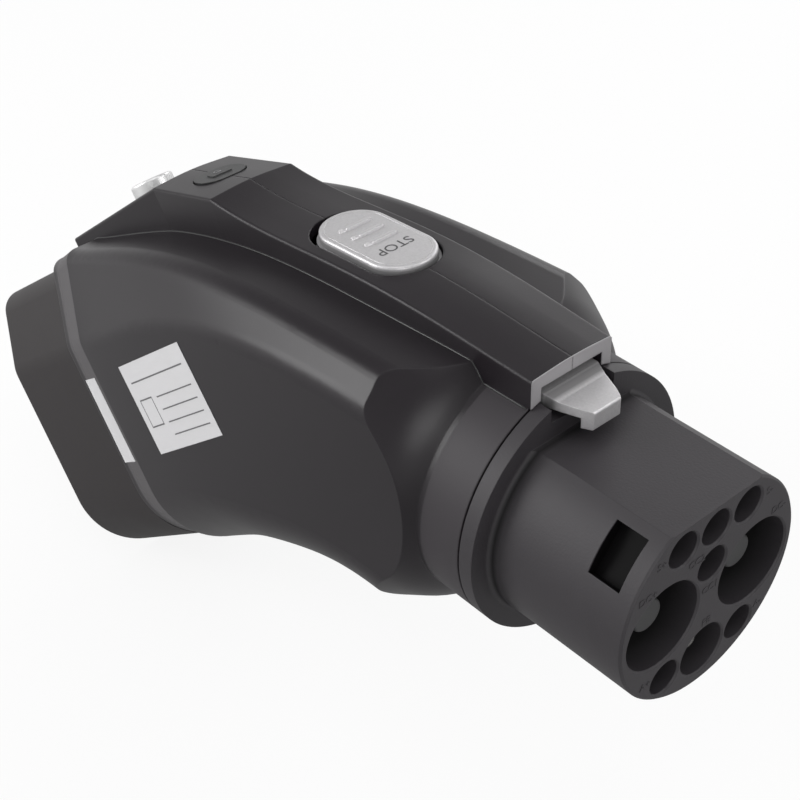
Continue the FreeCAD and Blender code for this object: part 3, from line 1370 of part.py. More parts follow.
node("inlet_screws", join("inlet_screws", *plate_screws))

hood_outside = slab(
    "hood_outside", rear, "YZ_Plane", hood_corners(hood_wall), -hood_rim, hood_rim + hood_step
)
hood_spigot = slab(
    "hood_spigot", rear, "YZ_Plane", hood_corners(spigot_wall), hood_step, plate_back - hood_step
)
hood_clasp = slab(
    "hood_clasp", rear, "YZ_Plane", hood_corners(spigot_wall + clasp_step), plate_back - clasp_width, clasp_width
)
hood_inside = slab(
    "hood_inside", rear, "YZ_Plane", hood_corners(0), -hood_rim - ease, hood_rim + ease + plate_back - hood_base
)
hood_opening = socket_form("hood_opening", plate_back - hood_base - ease, hood_base + ease * 2, open_gap)
slot_front = plate_back - hood_base - slot_step
rocker_notch = block(
    "rocker_notch", rear, (slot_front, -rocker_half - rocker_gap, hood_high - hood_wall + spigot_wall),
    (plate_back, rocker_half + rocker_gap, hood_high + ease),
)
rocker_slot = block(
    "rocker_slot", rear, (-rocker_end - slot_room, -rocker_half - rocker_gap, hood_high - hood_wall - ease),
    (slot_front, rocker_half + rocker_gap, hood_high + ease),
)
node(
    "inlet_hood",
    cut(
        "inlet_hood", join("hood_blank", hood_outside, hood_spigot, hood_clasp),
        hood_inside, hood_opening, rocker_notch, rocker_slot, *plate_holes,
    ),
)

for side, sign in (("positive", -1), ("negative", 1)):
    name = f"inlet_dc_{side}_pin"
    tip = -socket_front + contact_setback
    node(name, contact(name, rear, -inlet_tail, tip, pair_y * sign, pair_mid, pair_pin, plate_front))
node(
    "inlet_pe_pin",
    contact("inlet_pe_pin", rear, -inlet_tail, -socket_front + earth_setback, 0, socket_mid, earth_pin, plate_front),
)
for name, sign in (("inlet_pp_pin", -1), ("inlet_cp_pin", 1)):
    y, z = pilot_y * sign, socket_mid + pilot_z
    node(name, contact(name, rear, -pilot_tail, -socket_front + pilot_setback, y, z, signal_pin, plate_front))

# Conductors from the nose to the socket
bar_half = size("bar_half", 8, "half width of the busbars")
bar_thick = size("bar_thick", 4, "thickness of the busbars")
bar_y = size("bar_y", 15.2, "busbars from the middle plane")
lug_front = size("lug_front", 74, "front lugs behind the face")
lug_back = size("lug_back", 33, "rear lugs behind the bend")
lug_reach = size("lug_reach", 8.2, "lugs past their contact")
strap_half = size("strap_half", 4.5, "half width of the earth strap")
strap_thick = size("strap_thick", 1.5, "thickness of the earth strap")


def conductor(name, y, half, thick, front_z, rear_z, front_pin, rear_pin, front_y, rear_y):
    """Two lugs joined by a straight run through the body."""
    front_end = (-lug_front - thick / 2, front_z - lug_reach + thick / 2)
    rear_x, rear_side, rear_up = rear.point(-lug_back - thick / 2, 0, rear_z + lug_reach - thick / 2)
    run = front_end[0] - rear_x
    rise = front_end[1] - rear_up
    line = Frame(slope(rise, run), rear_x, rear_up)
    front_lug = block(
        name + "_front_lug", nose, (-lug_front - thick, y - half, front_z - lug_reach),
        (-lug_front, y + half, front_z + lug_reach),
    )
    rear_lug = block(
        name + "_rear_lug", rear, (-lug_back - thick, y - half, rear_z - lug_reach),
        (-lug_back, y + half, rear_z + lug_reach),
    )
    middle = block(
        name + "_run", line, (0, y - half, -thick / 2), (run / cosine(line.angle), y + half, thick / 2)
    )
    front_hole = rod(
        name + "_front_hole", nose, (-lug_front - thick * 2, front_y, front_z), "x", front_pin + hole_gap, thick * 4
    )
    rear_hole = rod(
        name + "_rear_hole", rear, (-lug_back - thick * 2, rear_y, rear_z), "x", rear_pin + hole_gap, thick * 4
    )
    return cut(name, join(name + "_blank", front_lug, rear_lug, middle), front_hole, rear_hole)


for side, sign in (("positive", -1), ("negative", 1)):
    name = f"busbar_{side}"
    node(
        name,
        conductor(
            name, bar_y * sign, bar_half, bar_thick, power_z, pair_mid, power_tail, pair_pin,
            power_y * sign, pair_y * sign,
        ),
    )
node(
    "earth_strap",
    conductor(
        "earth_strap", Size(0), strap_half, strap_thick, earth_z, socket_mid, earth_pin, earth_pin, Size(0), Size(0)
    ),
)

# Control board with its cell
cell_radius = size("cell_radius", 9, "cell")
cell_half = size("cell_half", 32.5, "cell, half length")
cell_drop = size("cell_drop", 12, "cell under the control board")
cell_end_gap = size("cell_end_gap", 0.5, "clearance at the ends of the cell")
holder_half = size("holder_half", 34, "cell holder, half length")
holder_width = size("holder_width", 12, "cell holder along the body, half width")
holder_height = size("holder_height", 10, "cell holder")
board = block("board", rear, (-board_back, -board_half, board_z), (board_front, board_half, board_z + board_thick))
chip_height = size("chip_height", 5, "parts on the control board")
chip_spots = [
    (-20, -24, 16, 12, chip_height),
    (2, -6, 14, 14, chip_height / 4),
    (-18, 12, 12, 16, chip_height),
]
chips = [
    block(
        f"chip_{number}", rear, (start, low, board_z + board_thick / 2),
        (start + length, low + width, board_z + board_thick + height),
    )
    for number, (start, low, length, width, height) in enumerate(chip_spots)
]
node("control_board", join("control_board", board, *chips))
cell = rod("battery_cell", rear, (0, -cell_half, board_z - cell_drop), "y", cell_radius, cell_half * 2)
node("battery_cell", cell)
holder_blank = block(
    "holder_blank", rear, (-holder_width, -holder_half, board_z - holder_height), (holder_width, holder_half, board_z)
)
holder_bore = rod(
    "holder_bore", rear, (0, -cell_half - cell_end_gap, board_z - cell_drop), "y", cell_radius + hole_gap * 2,
    (cell_half + cell_end_gap) * 2,
)
node("battery_holder", cut("battery_holder", holder_blank, holder_bore))

doc.recompute()
faults = [item.Name for item in doc.Objects if "Invalid" in item.State or "Error" in item.State]
for name, thing in pieces:
    if thing.Shape.isNull() or not thing.Shape.isValid() or not thing.Shape.Solids:
        faults.append(name)
if faults:
    raise RuntimeError("these did not build: " + ", ".join(faults))
for name, thing in pieces:
    thing.Shape.exportStep(os.path.join("parts", name + ".step"))
print(len(pieces), "pieces written")
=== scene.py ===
# %% [markdown]
# # Dressing a charging adapter
# The object is a hand-held adapter between two kinds of charging plug. It has a round nose with
# contact wells in front, a bent clamshell body, metal-coloured buttons on its ridge, and a hooded
# socket at the rear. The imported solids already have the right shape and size, so this lesson adds
# what solids can't carry: plastics with a moulded grain, silver paint, lettering, labels, a studio
# and a camera.

# %% Load the frame
import bpy
import bmesh
import json
import math
from mathutils import Matrix, Vector
from mathutils.bvhtree import BVHTree


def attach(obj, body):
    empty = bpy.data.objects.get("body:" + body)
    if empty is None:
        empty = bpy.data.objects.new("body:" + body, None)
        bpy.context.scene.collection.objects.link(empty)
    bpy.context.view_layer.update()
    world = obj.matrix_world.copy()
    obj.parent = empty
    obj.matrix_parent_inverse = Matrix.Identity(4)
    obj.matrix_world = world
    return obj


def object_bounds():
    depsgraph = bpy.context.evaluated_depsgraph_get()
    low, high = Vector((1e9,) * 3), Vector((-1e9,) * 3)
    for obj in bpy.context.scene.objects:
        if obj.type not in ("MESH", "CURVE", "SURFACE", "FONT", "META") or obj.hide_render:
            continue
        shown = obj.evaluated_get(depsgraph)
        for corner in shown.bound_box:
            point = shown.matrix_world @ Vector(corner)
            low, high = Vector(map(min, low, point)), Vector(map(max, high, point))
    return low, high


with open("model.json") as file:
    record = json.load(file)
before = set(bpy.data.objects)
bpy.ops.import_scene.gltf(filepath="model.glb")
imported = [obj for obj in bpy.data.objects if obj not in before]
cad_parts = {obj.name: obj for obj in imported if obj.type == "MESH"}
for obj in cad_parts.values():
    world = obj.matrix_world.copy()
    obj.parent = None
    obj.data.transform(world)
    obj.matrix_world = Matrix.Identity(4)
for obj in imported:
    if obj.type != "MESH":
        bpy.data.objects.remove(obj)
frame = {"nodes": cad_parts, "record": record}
cad_low, cad_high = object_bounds()
nodes = frame["nodes"]
MM = 0.001
print(len(nodes), "solids, box", [round(v, 4) for v in cad_high - cad_low])

# %% [markdown]
# ## Two frames
# The nose points along +X, with its face at the origin. The rear half of the body is turned down
# round a bend centre, so anything on it is easier to place in a second frame: a runs forward, y to
# the left seen from behind, and r is the height over the bend centre.

# %% The rear frame
TILT = math.radians(36.5)
BEND = Vector((-90, 0, -130.5))
FORWARD = Vector((math.cos(TILT), 0, math.sin(TILT)))
UPWARD = Vector((-math.sin(TILT), 0, math.cos(TILT)))


def rear_point(a, y, r):
    return (BEND + FORWARD * a + Vector((0, y, 0)) + UPWARD * r) * MM


def frame_matrix(origin, x_axis, y_axis):
    """A placement whose X and Y run along two directions from an origin in metres."""
    x_axis = Vector(x_axis).normalized()
    z_axis = x_axis.cross(Vector(y_axis)).normalized()
    y_axis = z_axis.cross(x_axis)
    turn = Matrix((x_axis, y_axis, z_axis)).transposed().to_4x4()
    return Matrix.Translation(origin) @ turn


print("hood rim at", [round(v, 3) for v in rear_point(-117, 0, 139)])

# %% [markdown]
# ## Grain
# Moulded plastic is never quite even. A fine eroded texture scatters light, and the surface drifts
# a little in gloss from place to place. Both come from noise in object space, so they stay put when
# the camera moves. One node group gives both, and each plastic sets its own scale.

# %% A node group for the grain
def new_group(name, inputs, outputs):
    group = bpy.data.node_groups.new(name, "ShaderNodeTree")
    for label, kind, value in inputs:
        group.interface.new_socket(name=label, in_out="INPUT", socket_type=kind).default_value = value
    for label, kind in outputs:
        group.interface.new_socket(name=label, in_out="OUTPUT", socket_type=kind)
    return group, group.nodes.new("NodeGroupInput"), group.nodes.new("NodeGroupOutput")


def feed(tree, socket, value):
    """Links an output to a socket, or writes a constant on it."""
    if hasattr(value, "is_output"):
        tree.links.new(value, socket)
    else:
        socket.default_value = value


def noise_node(tree, scale, detail, vector):
    noise = tree.nodes.new("ShaderNodeTexNoise")
    for label, value in (("Scale", scale), ("Detail", detail), ("Vector", vector)):
        feed(tree, noise.inputs[label], value)
    return noise.outputs["Fac"]


def math_node(tree, kind, *values, clamp=False):
    node = tree.nodes.new("ShaderNodeMath")
    node.operation = kind
    node.use_clamp = clamp
    for socket, value in zip(node.inputs, values):
        feed(tree, socket, value)
    return node.outputs[0]


def blend_node(tree, kind, factor, first, second):
    node = tree.nodes.new("ShaderNodeMix")
    node.data_type = kind
    for label, value in (("Factor", factor), ("A", first), ("B", second)):
        feed(tree, node.inputs[label], value)
    return node.outputs["Result"]


def map_node(tree, value, from_low, from_high, to_low, to_high):
    node = tree.nodes.new("ShaderNodeMapRange")
    labels = ("Value", "From Min", "From Max", "To Min", "To Max")
    for label, number in zip(labels, (value, from_low, from_high, to_low, to_high)):
        feed(tree, node.inputs[label], number)
    return node.outputs["Result"]


grain, grain_in, grain_out = new_group(
    "moulded_grain",
    [("Scale", "NodeSocketFloat", 2500.0), ("Drift", "NodeSocketFloat", 40.0)],
    [("Height", "NodeSocketFloat"), ("Mottle", "NodeSocketFloat")],
)
where = grain.nodes.new("ShaderNodeTexCoord").outputs["Object"]
fine = noise_node(grain, grain_in.outputs["Scale"], 2.0, where)
wide = noise_node(grain, grain_in.outputs["Drift"], 4.0, where)
grain.links.new(fine, grain_out.inputs["Height"])
grain.links.new(wide, grain_out.inputs["Mottle"])
print("group", grain.name, "with", len(grain.nodes), "nodes")

# %% [markdown]
# ## Soft edges
# No moulded edge is knife sharp. A radius of a few tenths of a millimetre catches the light as the
# thin bright line that outlines every step of the real adapter. Rounding the normals in the shader
# gives that line without touching the solids.

# %% A node group for soft edges
edges, edges_in, edges_out = new_group(
    "soft_edges", [("Radius", "NodeSocketFloat", 0.0005)], [("Normal", "NodeSocketVector")]
)
bevel = edges.nodes.new("ShaderNodeBevel")
bevel.samples = 6
edges.links.new(edges_in.outputs["Radius"], bevel.inputs["Radius"])
edges.links.new(bevel.outputs["Normal"], edges_out.inputs["Normal"])
print("group", edges.name)

# %% [markdown]
# ## A mask along a direction
# Some finishes change from one zone of a piece to the next: the band behind the nose is a lighter grey
# than the side panels. Other zones carry painted light: the edge strip at the rear and the ridge's front
# face are painted lighter as painted highlights, and the button's side and the hook's slope darker as
# painted shade. A mask that runs from 0 to 1 along a direction, and back again, picks out such a zone. A
# reach keeps it near the axis of the nose, and an inner limit keeps it away from that axis.

# %% A node group for a zone
zone, zone_in, zone_out = new_group(
    "zone",
    [
        ("Direction", "NodeSocketVector", (1.0, 0.0, 0.0)),
        ("Start", "NodeSocketFloat", 0.0),
        ("End", "NodeSocketFloat", 0.01),
        ("Softness", "NodeSocketFloat", 0.0003),
        ("Reach", "NodeSocketFloat", 1.0),
        ("Inner", "NodeSocketFloat", -1.0),
    ],
    [("Mask", "NodeSocketFloat")],
)
spot = zone.nodes.new("ShaderNodeTexCoord").outputs["Object"]
along = zone.nodes.new("ShaderNodeVectorMath")
along.operation = "DOT_PRODUCT"
zone.links.new(spot, along.inputs[0])
zone.links.new(zone_in.outputs["Direction"], along.inputs[1])
distance = along.outputs["Value"]
after = math_node(zone, "SUBTRACT", distance, zone_in.outputs["Start"])
before = math_node(zone, "SUBTRACT", zone_in.outputs["End"], distance)
nearest = math_node(zone, "MINIMUM", after, before)
share = math_node(zone, "DIVIDE", nearest, zone_in.outputs["Softness"], clamp=True)
from_axis = zone.nodes.new("ShaderNodeVectorMath")
from_axis.operation = "LENGTH"
flat = zone.nodes.new("ShaderNodeVectorMath")
flat.operation = "MULTIPLY"
zone.links.new(spot, flat.inputs[0])
flat.inputs[1].default_value = (0.0, 1.0, 1.0)
zone.links.new(flat.outputs["Vector"], from_axis.inputs[0])
near = math_node(zone, "LESS_THAN", from_axis.outputs["Value"], zone_in.outputs["Reach"])
far = math_node(zone, "GREATER_THAN", from_axis.outputs["Value"], zone_in.outputs["Inner"])
allowed = math_node(zone, "MULTIPLY", near, far)
zone.links.new(math_node(zone, "MULTIPLY", share, allowed), zone_out.inputs["Mask"])
print("group", zone.name)

# %% [markdown]
# ## A mask for painted shade in the wells
# Light hardly reaches the bottom of the contact wells and of the side window, so the plastic there is
# painted near black as painted shade. This mask grows with the depth behind the face, and only inside the
# round nose, so the outer skin stays as it is.

# %% A node group for the depth of the wells
well_shade, well_shade_in, well_shade_out = new_group(
    "well_depth",
    [
        ("Radius", "NodeSocketFloat", 0.0313),
        ("Flat", "NodeSocketFloat", 0.0272),
        ("Reach", "NodeSocketFloat", 0.008),
    ],
    [("Mask", "NodeSocketFloat")],
)
BEVEL_DEPTH = 0.001
place = well_shade.nodes.new("ShaderNodeTexCoord").outputs["Object"]
parts = well_shade.nodes.new("ShaderNodeSeparateXYZ")
well_shade.links.new(place, parts.inputs[0])
ahead, across, over = parts.outputs
across_square = math_node(well_shade, "MULTIPLY", across, across)
over_square = math_node(well_shade, "MULTIPLY", over, over)
off_axis = math_node(well_shade, "SQRT", math_node(well_shade, "ADD", across_square, over_square))
inside = math_node(well_shade, "LESS_THAN", off_axis, well_shade_in.outputs["Radius"])
under = math_node(well_shade, "LESS_THAN", over, well_shade_in.outputs["Flat"])
behind = math_node(well_shade, "MULTIPLY_ADD", ahead, -1.0, -BEVEL_DEPTH)
share = math_node(well_shade, "DIVIDE", behind, well_shade_in.outputs["Reach"], clamp=True)
share = math_node(well_shade, "MULTIPLY", share, math_node(well_shade, "MULTIPLY", inside, under))
well_shade.links.new(share, well_shade_out.inputs["Mask"])
print("group", well_shade.name)

# %% [markdown]
# ## One recipe for the plastics and paints
# Every opaque finish here is the same idea with its own numbers: a base colour that drifts between
# two near shades, a roughness that drifts with it, a faint grain in the normal and soft edges. The
# Principled shader stays in the material, and only colours, values and normals come from groups.

# %% The recipe
def finish(
    name, dark, light, roughness, drift=0.06, grain_scale=2500.0, grain_height=0.03, drift_scale=40.0,
    edge=0.0004, metallic=0.0, specular=0.5, zones=(),
):
    material = bpy.data.materials.new(name)
    material.use_nodes = True
    tree = material.node_tree
    shader = tree.nodes["Principled BSDF"]
    shader.inputs["Metallic"].default_value = metallic
    shader.inputs["Specular IOR Level"].default_value = specular
    texture = tree.nodes.new("ShaderNodeGroup")
    texture.node_tree = grain
    texture.inputs["Scale"].default_value = grain_scale
    texture.inputs["Drift"].default_value = drift_scale
    mottle = texture.outputs["Mottle"]
    colour = blend_node(tree, "RGBA", mottle, (*dark, 1), (*light, 1))
    rough = map_node(tree, mottle, 0, 1, roughness - drift, roughness + drift)
    for group, settings, zone_colour, zone_roughness in zones:
        mask = tree.nodes.new("ShaderNodeGroup")
        mask.node_tree = group
        for label, value in settings.items():
            mask.inputs[label].default_value = value
        colour = blend_node(tree, "RGBA", mask.outputs["Mask"], colour, (*zone_colour, 1))
        rough = blend_node(tree, "FLOAT", mask.outputs["Mask"], rough, zone_roughness)
    tree.links.new(colour, shader.inputs["Base Color"])
    tree.links.new(rough, shader.inputs["Roughness"])
    bump = tree.nodes.new("ShaderNodeBump")
    bump.inputs["Strength"].default_value = 1.0
    bump.inputs["Distance"].default_value = grain_height * MM
    tree.links.new(texture.outputs["Height"], bump.inputs["Height"])
    if edge:
        rim = tree.nodes.new("ShaderNodeGroup")
        rim.node_tree = edges
        rim.inputs["Radius"].default_value = edge
        tree.links.new(rim.outputs["Normal"], bump.inputs["Normal"])
    tree.links.new(bump.outputs["Normal"], shader.inputs["Normal"])
    return material


print("recipe ready")

# %% [markdown]
# ## The black plastics
# The body is one satin black, but the eye sees four: a nearly glossy side panel, a matter band behind the
# nose, an edge strip at the rear painted lighter as a painted highlight, and a grey-black hood. The
# ridge's front face is painted light grey too, as a painted reflection. On the nose, the bottoms of the
# wells and the root of the barrel are painted darker as painted shade. The zones follow the steps of the
# moulding, counted in metres from the nose's face, or along the rear frame from the bend centre.

# %% Body, nose, hood and inner plastics
AHEAD = (1.0, 0.0, 0.0)
bend_along = BEND.dot(FORWARD)
# The edge strip at the rear is painted lighter as a painted highlight.
edge_strip_highlight = {
    "Direction": tuple(FORWARD), "Start": (bend_along - 57) * MM, "End": (bend_along - 44) * MM,
    "Softness": 0.0004, "Inner": 0.0235,
}
band_zone = {"Direction": AHEAD, "Start": -0.0637, "End": -0.0495, "Softness": 0.0004, "Reach": 0.0385}
# The ridge's front face is painted light grey as a painted reflection.
ridge_face_highlight = {"Direction": AHEAD, "Start": -0.0489, "End": -0.045, "Softness": 0.0001, "Inner": 0.0385}
root_shade = {"Direction": AHEAD, "Start": -0.0448, "End": -0.0415, "Softness": 0.0018}
body_plastic = finish(
    "body_plastic", (0.0105, 0.008, 0.0105), (0.0145, 0.0115, 0.0145), 0.34, drift=0.04,
    grain_scale=2200.0, grain_height=0.012, edge=0.0007, specular=0.34,
    zones=[
        (zone, edge_strip_highlight, (0.075, 0.07, 0.074), 0.5),
        (zone, band_zone, (0.034, 0.03, 0.034), 0.5),
        (zone, ridge_face_highlight, (0.3, 0.29, 0.3), 0.4),
    ],
)
nose_plastic = finish(
    "nose_plastic", (0.026, 0.023, 0.0265), (0.036, 0.0325, 0.0365), 0.5, drift=0.06,
    grain_scale=1500.0, grain_height=0.035, edge=0.0003, specular=0.42,
    zones=[
        # The bottoms of the wells are painted near black and the root of the barrel darker, both as
        # painted shade.
        (well_shade, {}, (0.0015, 0.0012, 0.0015), 0.75),
        (zone, root_shade, (0.004, 0.0035, 0.004), 0.8),
    ],
)
hood_plastic = finish(
    "hood_plastic", (0.0135, 0.0105, 0.0115), (0.019, 0.015, 0.016), 0.5, drift=0.05,
    grain_scale=1800.0, grain_height=0.03, edge=0.0006, specular=0.34,
)
socket_plastic = finish("socket_plastic", (0.012, 0.012, 0.0125), (0.017, 0.017, 0.0175), 0.5)
switch_plastic = finish("switch_plastic", (0.02, 0.02, 0.02), (0.03, 0.03, 0.03), 0.45)
key_plastic = finish("key_plastic", (0.016, 0.0162, 0.0168), (0.021, 0.0212, 0.0218), 0.42, edge=0.0003)
cap_plastic = finish(
    "cap_plastic", (0.035, 0.035, 0.036), (0.05, 0.05, 0.051), 0.6, drift_scale=120.0, edge=0.0003
)
seal_rubber = finish("seal_rubber", (0.015, 0.015, 0.015), (0.022, 0.022, 0.022), 0.8, specular=0.3)
print("black plastics", body_plastic.name, nose_plastic.name, hood_plastic.name)

# %% [markdown]
# ## The silver paint and the bare metals
# The stop button, the knob and the hook are coated in a silver lacquer full of tiny flakes. The flakes
# sparkle slightly, so this paint is metallic with a grain coarse enough to show. The button's side and the
# hook's slope are painted darker as painted shade, and the knob is the lightest. The contacts are silver
# plated, and the hidden conductors are bare copper.

# %% Paint and metals
LEAN = math.radians(4.5)
stop_along = Vector((math.cos(LEAN), 0, math.sin(LEAN)))
stop_up = Vector((-math.sin(LEAN), 0, math.cos(LEAN)))
stop_top = Vector((-122.3, 0, 46))
EDGE_ROUND = 1.1
# The button's side is painted darker as painted shade.
stop_side_shade = {
    "Direction": tuple(stop_up), "Start": 0.045, "End": (stop_top.dot(stop_up) - EDGE_ROUND) * MM,
    "Softness": 0.0004,
}
# The hook's slope is painted darker as painted shade.
hook_slope_shade = {"Direction": AHEAD, "Start": -0.0495, "End": -0.0455, "Softness": 0.0012}
knob_zone = {"Direction": AHEAD, "Start": -0.3, "End": -0.21, "Softness": 0.001}
silver_paint = finish(
    "silver_paint", (0.5, 0.49, 0.5), (0.66, 0.65, 0.66), 0.42, drift=0.06, grain_scale=4500.0,
    grain_height=0.03, drift_scale=1500.0, edge=0.0004, metallic=0.6,
    zones=[
        (zone, stop_side_shade, (0.3, 0.295, 0.3), 0.5),
        (zone, hook_slope_shade, (0.26, 0.255, 0.26), 0.5),
        (zone, knob_zone, (0.8, 0.8, 0.8), 0.35),
    ],
)
contact_silver = finish(
    "contact_silver", (0.7, 0.69, 0.66), (0.8, 0.79, 0.76), 0.25, metallic=1.0, grain_height=0.004
)
steel = finish("steel", (0.45, 0.45, 0.46), (0.58, 0.58, 0.59), 0.35, metallic=1.0, grain_height=0.006)
copper = finish("copper", (0.65, 0.33, 0.2), (0.76, 0.42, 0.27), 0.35, metallic=1.0, grain_height=0.006)
board_green = finish("board_green", (0.02, 0.11, 0.05), (0.03, 0.15, 0.07), 0.4, drift_scale=300.0)
cell_wrap = finish("cell_wrap", (0.02, 0.07, 0.22), (0.03, 0.1, 0.28), 0.3, drift_scale=80.0)
print("metals", silver_paint.name, contact_silver.name, copper.name)

# %% [markdown]
# ## Which solid wears what
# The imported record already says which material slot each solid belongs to, so the same table that
# describes the part also dresses it.

# %% Dress the solids
finishes = {
    "body_plastic": body_plastic, "nose_plastic": nose_plastic, "hood_plastic": hood_plastic,
    "socket_plastic": socket_plastic, "switch_plastic": switch_plastic, "key_plastic": key_plastic,
    "cap_plastic": cap_plastic, "seal_rubber": seal_rubber, "silver_paint": silver_paint,
    "contact_silver": contact_silver, "steel": steel, "copper": copper,
    "board_green": board_green, "cell_wrap": cell_wrap,
}
for entry in frame["record"]["subparts"]:
    solid = nodes[entry["node"]]
    solid.data.materials.clear()
    solid.data.materials.append(finishes[entry["material_slot"]])

# %% [markdown]
# ## Lettering
# The button says what it does, and each well in the face carries the mark of its contact. Moulded
# letters stand a tenth of a millimetre proud or deep. A text object with a little extrusion is
# enough, laid on its surface by a placement that gives its reading direction and its top.

# %% A helper for lettering
def lettering(name, words, size, origin, reading, upward, material, body, depth=0.0001):
    curve = bpy.data.curves.new(name, "FONT")
    curve.body = words
    curve.size = size
    curve.extrude = depth
    curve.align_x = "CENTER"
    curve.align_y = "CENTER"
    curve.resolution_u = 4
    text = bpy.data.objects.new(name, curve)
    bpy.context.scene.collection.objects.link(text)
    text.matrix_world = frame_matrix(origin, reading, upward)
    bpy.context.view_layer.update()
    graph = bpy.context.evaluated_depsgraph_get()
    mesh = bpy.data.meshes.new_from_object(text.evaluated_get(graph))
    place = text.matrix_world.copy()
    bpy.data.objects.remove(text)
    letters = bpy.data.objects.new(name, mesh)
    bpy.context.scene.collection.objects.link(letters)
    letters.matrix_world = place
    letters.data.materials.clear()
    letters.data.materials.append(material)
    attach(letters, body)
    return letters


marks = [
    ("dc_left", "DC+", -23.6, 12.7), ("dc_right", "DC-", 24.6, 12.4), ("s_left", "S+", -19.6, 20.7),
    ("s_right", "S-", 19.7, 20.8), ("cc_low", "CC1", 0.1, 1.0), ("cc_high", "CC2", -6.4, 13.6),
    ("a_left", "A+", -21.6, -18.3), ("a_right", "A-", 21.5, -18.6), ("earth", "PE", 0.2, -10.9),
]
for mark, words, y, z in marks:
    lettering(
        "mark_" + mark, words, 0.0032, Vector((0.00003, y * MM, z * MM)), (0, 1, 0), (0, 0, 1),
        nose_plastic, "body", depth=0.00008,
    )
print("marks on the face:", len(marks))

# %% [markdown]
# ## The stop button's word
# The word is printed in dark grey across the front end of the button. It reads from the rear of the
# adapter, which is where the hand that presses the button is.

# %% Word on the stop button
ink = finish("dark_ink", (0.06, 0.06, 0.062), (0.09, 0.09, 0.092), 0.6, grain_height=0.004, edge=0)


def on_stop(a, y, lift=0.02):
    """A point on the stop button's top: a forward of its middle, y across."""
    return (stop_top + stop_along * a + Vector((0, y, 0)) + stop_up * lift) * MM


stop_word = lettering(
    "stop_word", "STOP", 0.0051, on_stop(7.1, 0), (0, -1, 0), stop_along, ink, "stop",
    depth=0.00004,
)
print("stop word at", [round(v, 4) for v in stop_word.matrix_world.translation])

# %% [markdown]
# ## The skin under a detail
# Labels, beads and dots have to sit on the moulding wherever it curves. A ray cast at the housing
# gives the point under each corner of a detail, and a small lift keeps the two surfaces apart.

# %% Helpers that follow the skin
def skin_of(name):
    mesh = nodes[name].data
    place = nodes[name].matrix_world
    points = [place @ vertex.co for vertex in mesh.vertices]
    return BVHTree.FromPolygons(points, [tuple(face.vertices) for face in mesh.polygons])


def drop(skin, start, direction, lift):
    """The point where a ray meets a skin, lifted off it by some millimetres."""
    point, normal, index, distance = skin.ray_cast(start, direction)
    if point is None:
        raise ValueError(f"no skin under {start}")
    if normal.dot(direction) > 0:
        normal = -normal
    return point + normal * lift * MM


def new_piece(name, points, faces, material, body, smooth=False):
    mesh = bpy.data.meshes.new(name)
    mesh.from_pydata(points, [], faces)
    shape = bmesh.new()
    shape.from_mesh(mesh)
    bmesh.ops.recalc_face_normals(shape, faces=shape.faces)
    shape.to_mesh(mesh)
    shape.free()
    if smooth:
        mesh.shade_smooth()
    piece = bpy.data.objects.new(name, mesh)
    bpy.context.scene.collection.objects.link(piece)
    mesh.materials.append(material)
    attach(piece, body)
    return piece


def film(name, skin, corners, columns, rows, lift, material, body):
    """A thin sheet laid on a skin between four corners, each given on the rear frame as a and r."""
    points, faces = [], []
    for level in (lift, lift / 2):
        for row in range(rows + 1):
            for column in range(columns + 1):
                p, q = column / columns, row / rows
                a, r = (
                    corners[0][k] * (1 - p) * (1 - q) + corners[1][k] * p * (1 - q)
                    + corners[2][k] * p * q + corners[3][k] * (1 - p) * q
                    for k in (0, 1)
                )
                points.append(drop(skin, rear_point(a, -60, r), Vector((0, 1, 0)), level))
    wide = columns + 1
    layer = wide * (rows + 1)
    for row in range(rows):
        for column in range(columns):
            first = row * wide + column
            top = (first, first + 1, first + wide + 1, first + wide)
            faces += [top, tuple(layer + spot for spot in top)]
    border = list(range(wide)) + [row * wide + columns for row in range(1, rows + 1)]
    border += [rows * wide + column for column in range(columns - 1, -1, -1)]
    border += [row * wide for row in range(rows - 1, 0, -1)]
    for here, there in zip(border, border[1:] + border[:1]):
        faces.append((here, there, layer + there, layer + here))
    return new_piece(name, points, faces, material, body)


def tube(name, centres, radius, material, body, closed=False, sides=6):
    """A thin round bead along a line of points, all in metres."""
    points, faces = [], []
    count = len(centres)
    for index, centre in enumerate(centres):
        after = centres[(index + 1) % count] if closed or index < count - 1 else centre
        before = centres[index - 1] if closed or index else centre
        along = (after - before).normalized()
        side = along.cross(Vector((0, 0, 1))).normalized()
        lift = side.cross(along)
        for step in range(sides):
            angle = 2 * math.pi * step / sides
            points.append(centre + (side * math.cos(angle) + lift * math.sin(angle)) * radius * MM)
    for index in range(count if closed else count - 1):
        here, there = index * sides, (index + 1) % count * sides
        for step in range(sides):
            ahead = (step + 1) % sides
            faces.append((here + step, here + ahead, there + ahead, there + step))
    if not closed:
        faces.append(tuple(range(sides)))
        faces.append(tuple(range((count - 1) * sides, count * sides)))
    return new_piece(name, points, faces, material, body, smooth=True)


left_skin = skin_of("housing_left")
right_skin = skin_of("housing_right")
print("side panel at y", round(drop(left_skin, rear_point(0, -60, 140), Vector((0, 1, 0)), 0).y, 5))

# %% [markdown]
# ## Labels
# The side panel carries a white label, and the edge strip a narrow one. Here they are plain stock:
# thin sheets of satin paper that follow the panel, with nothing on them but the rules of a blank form.

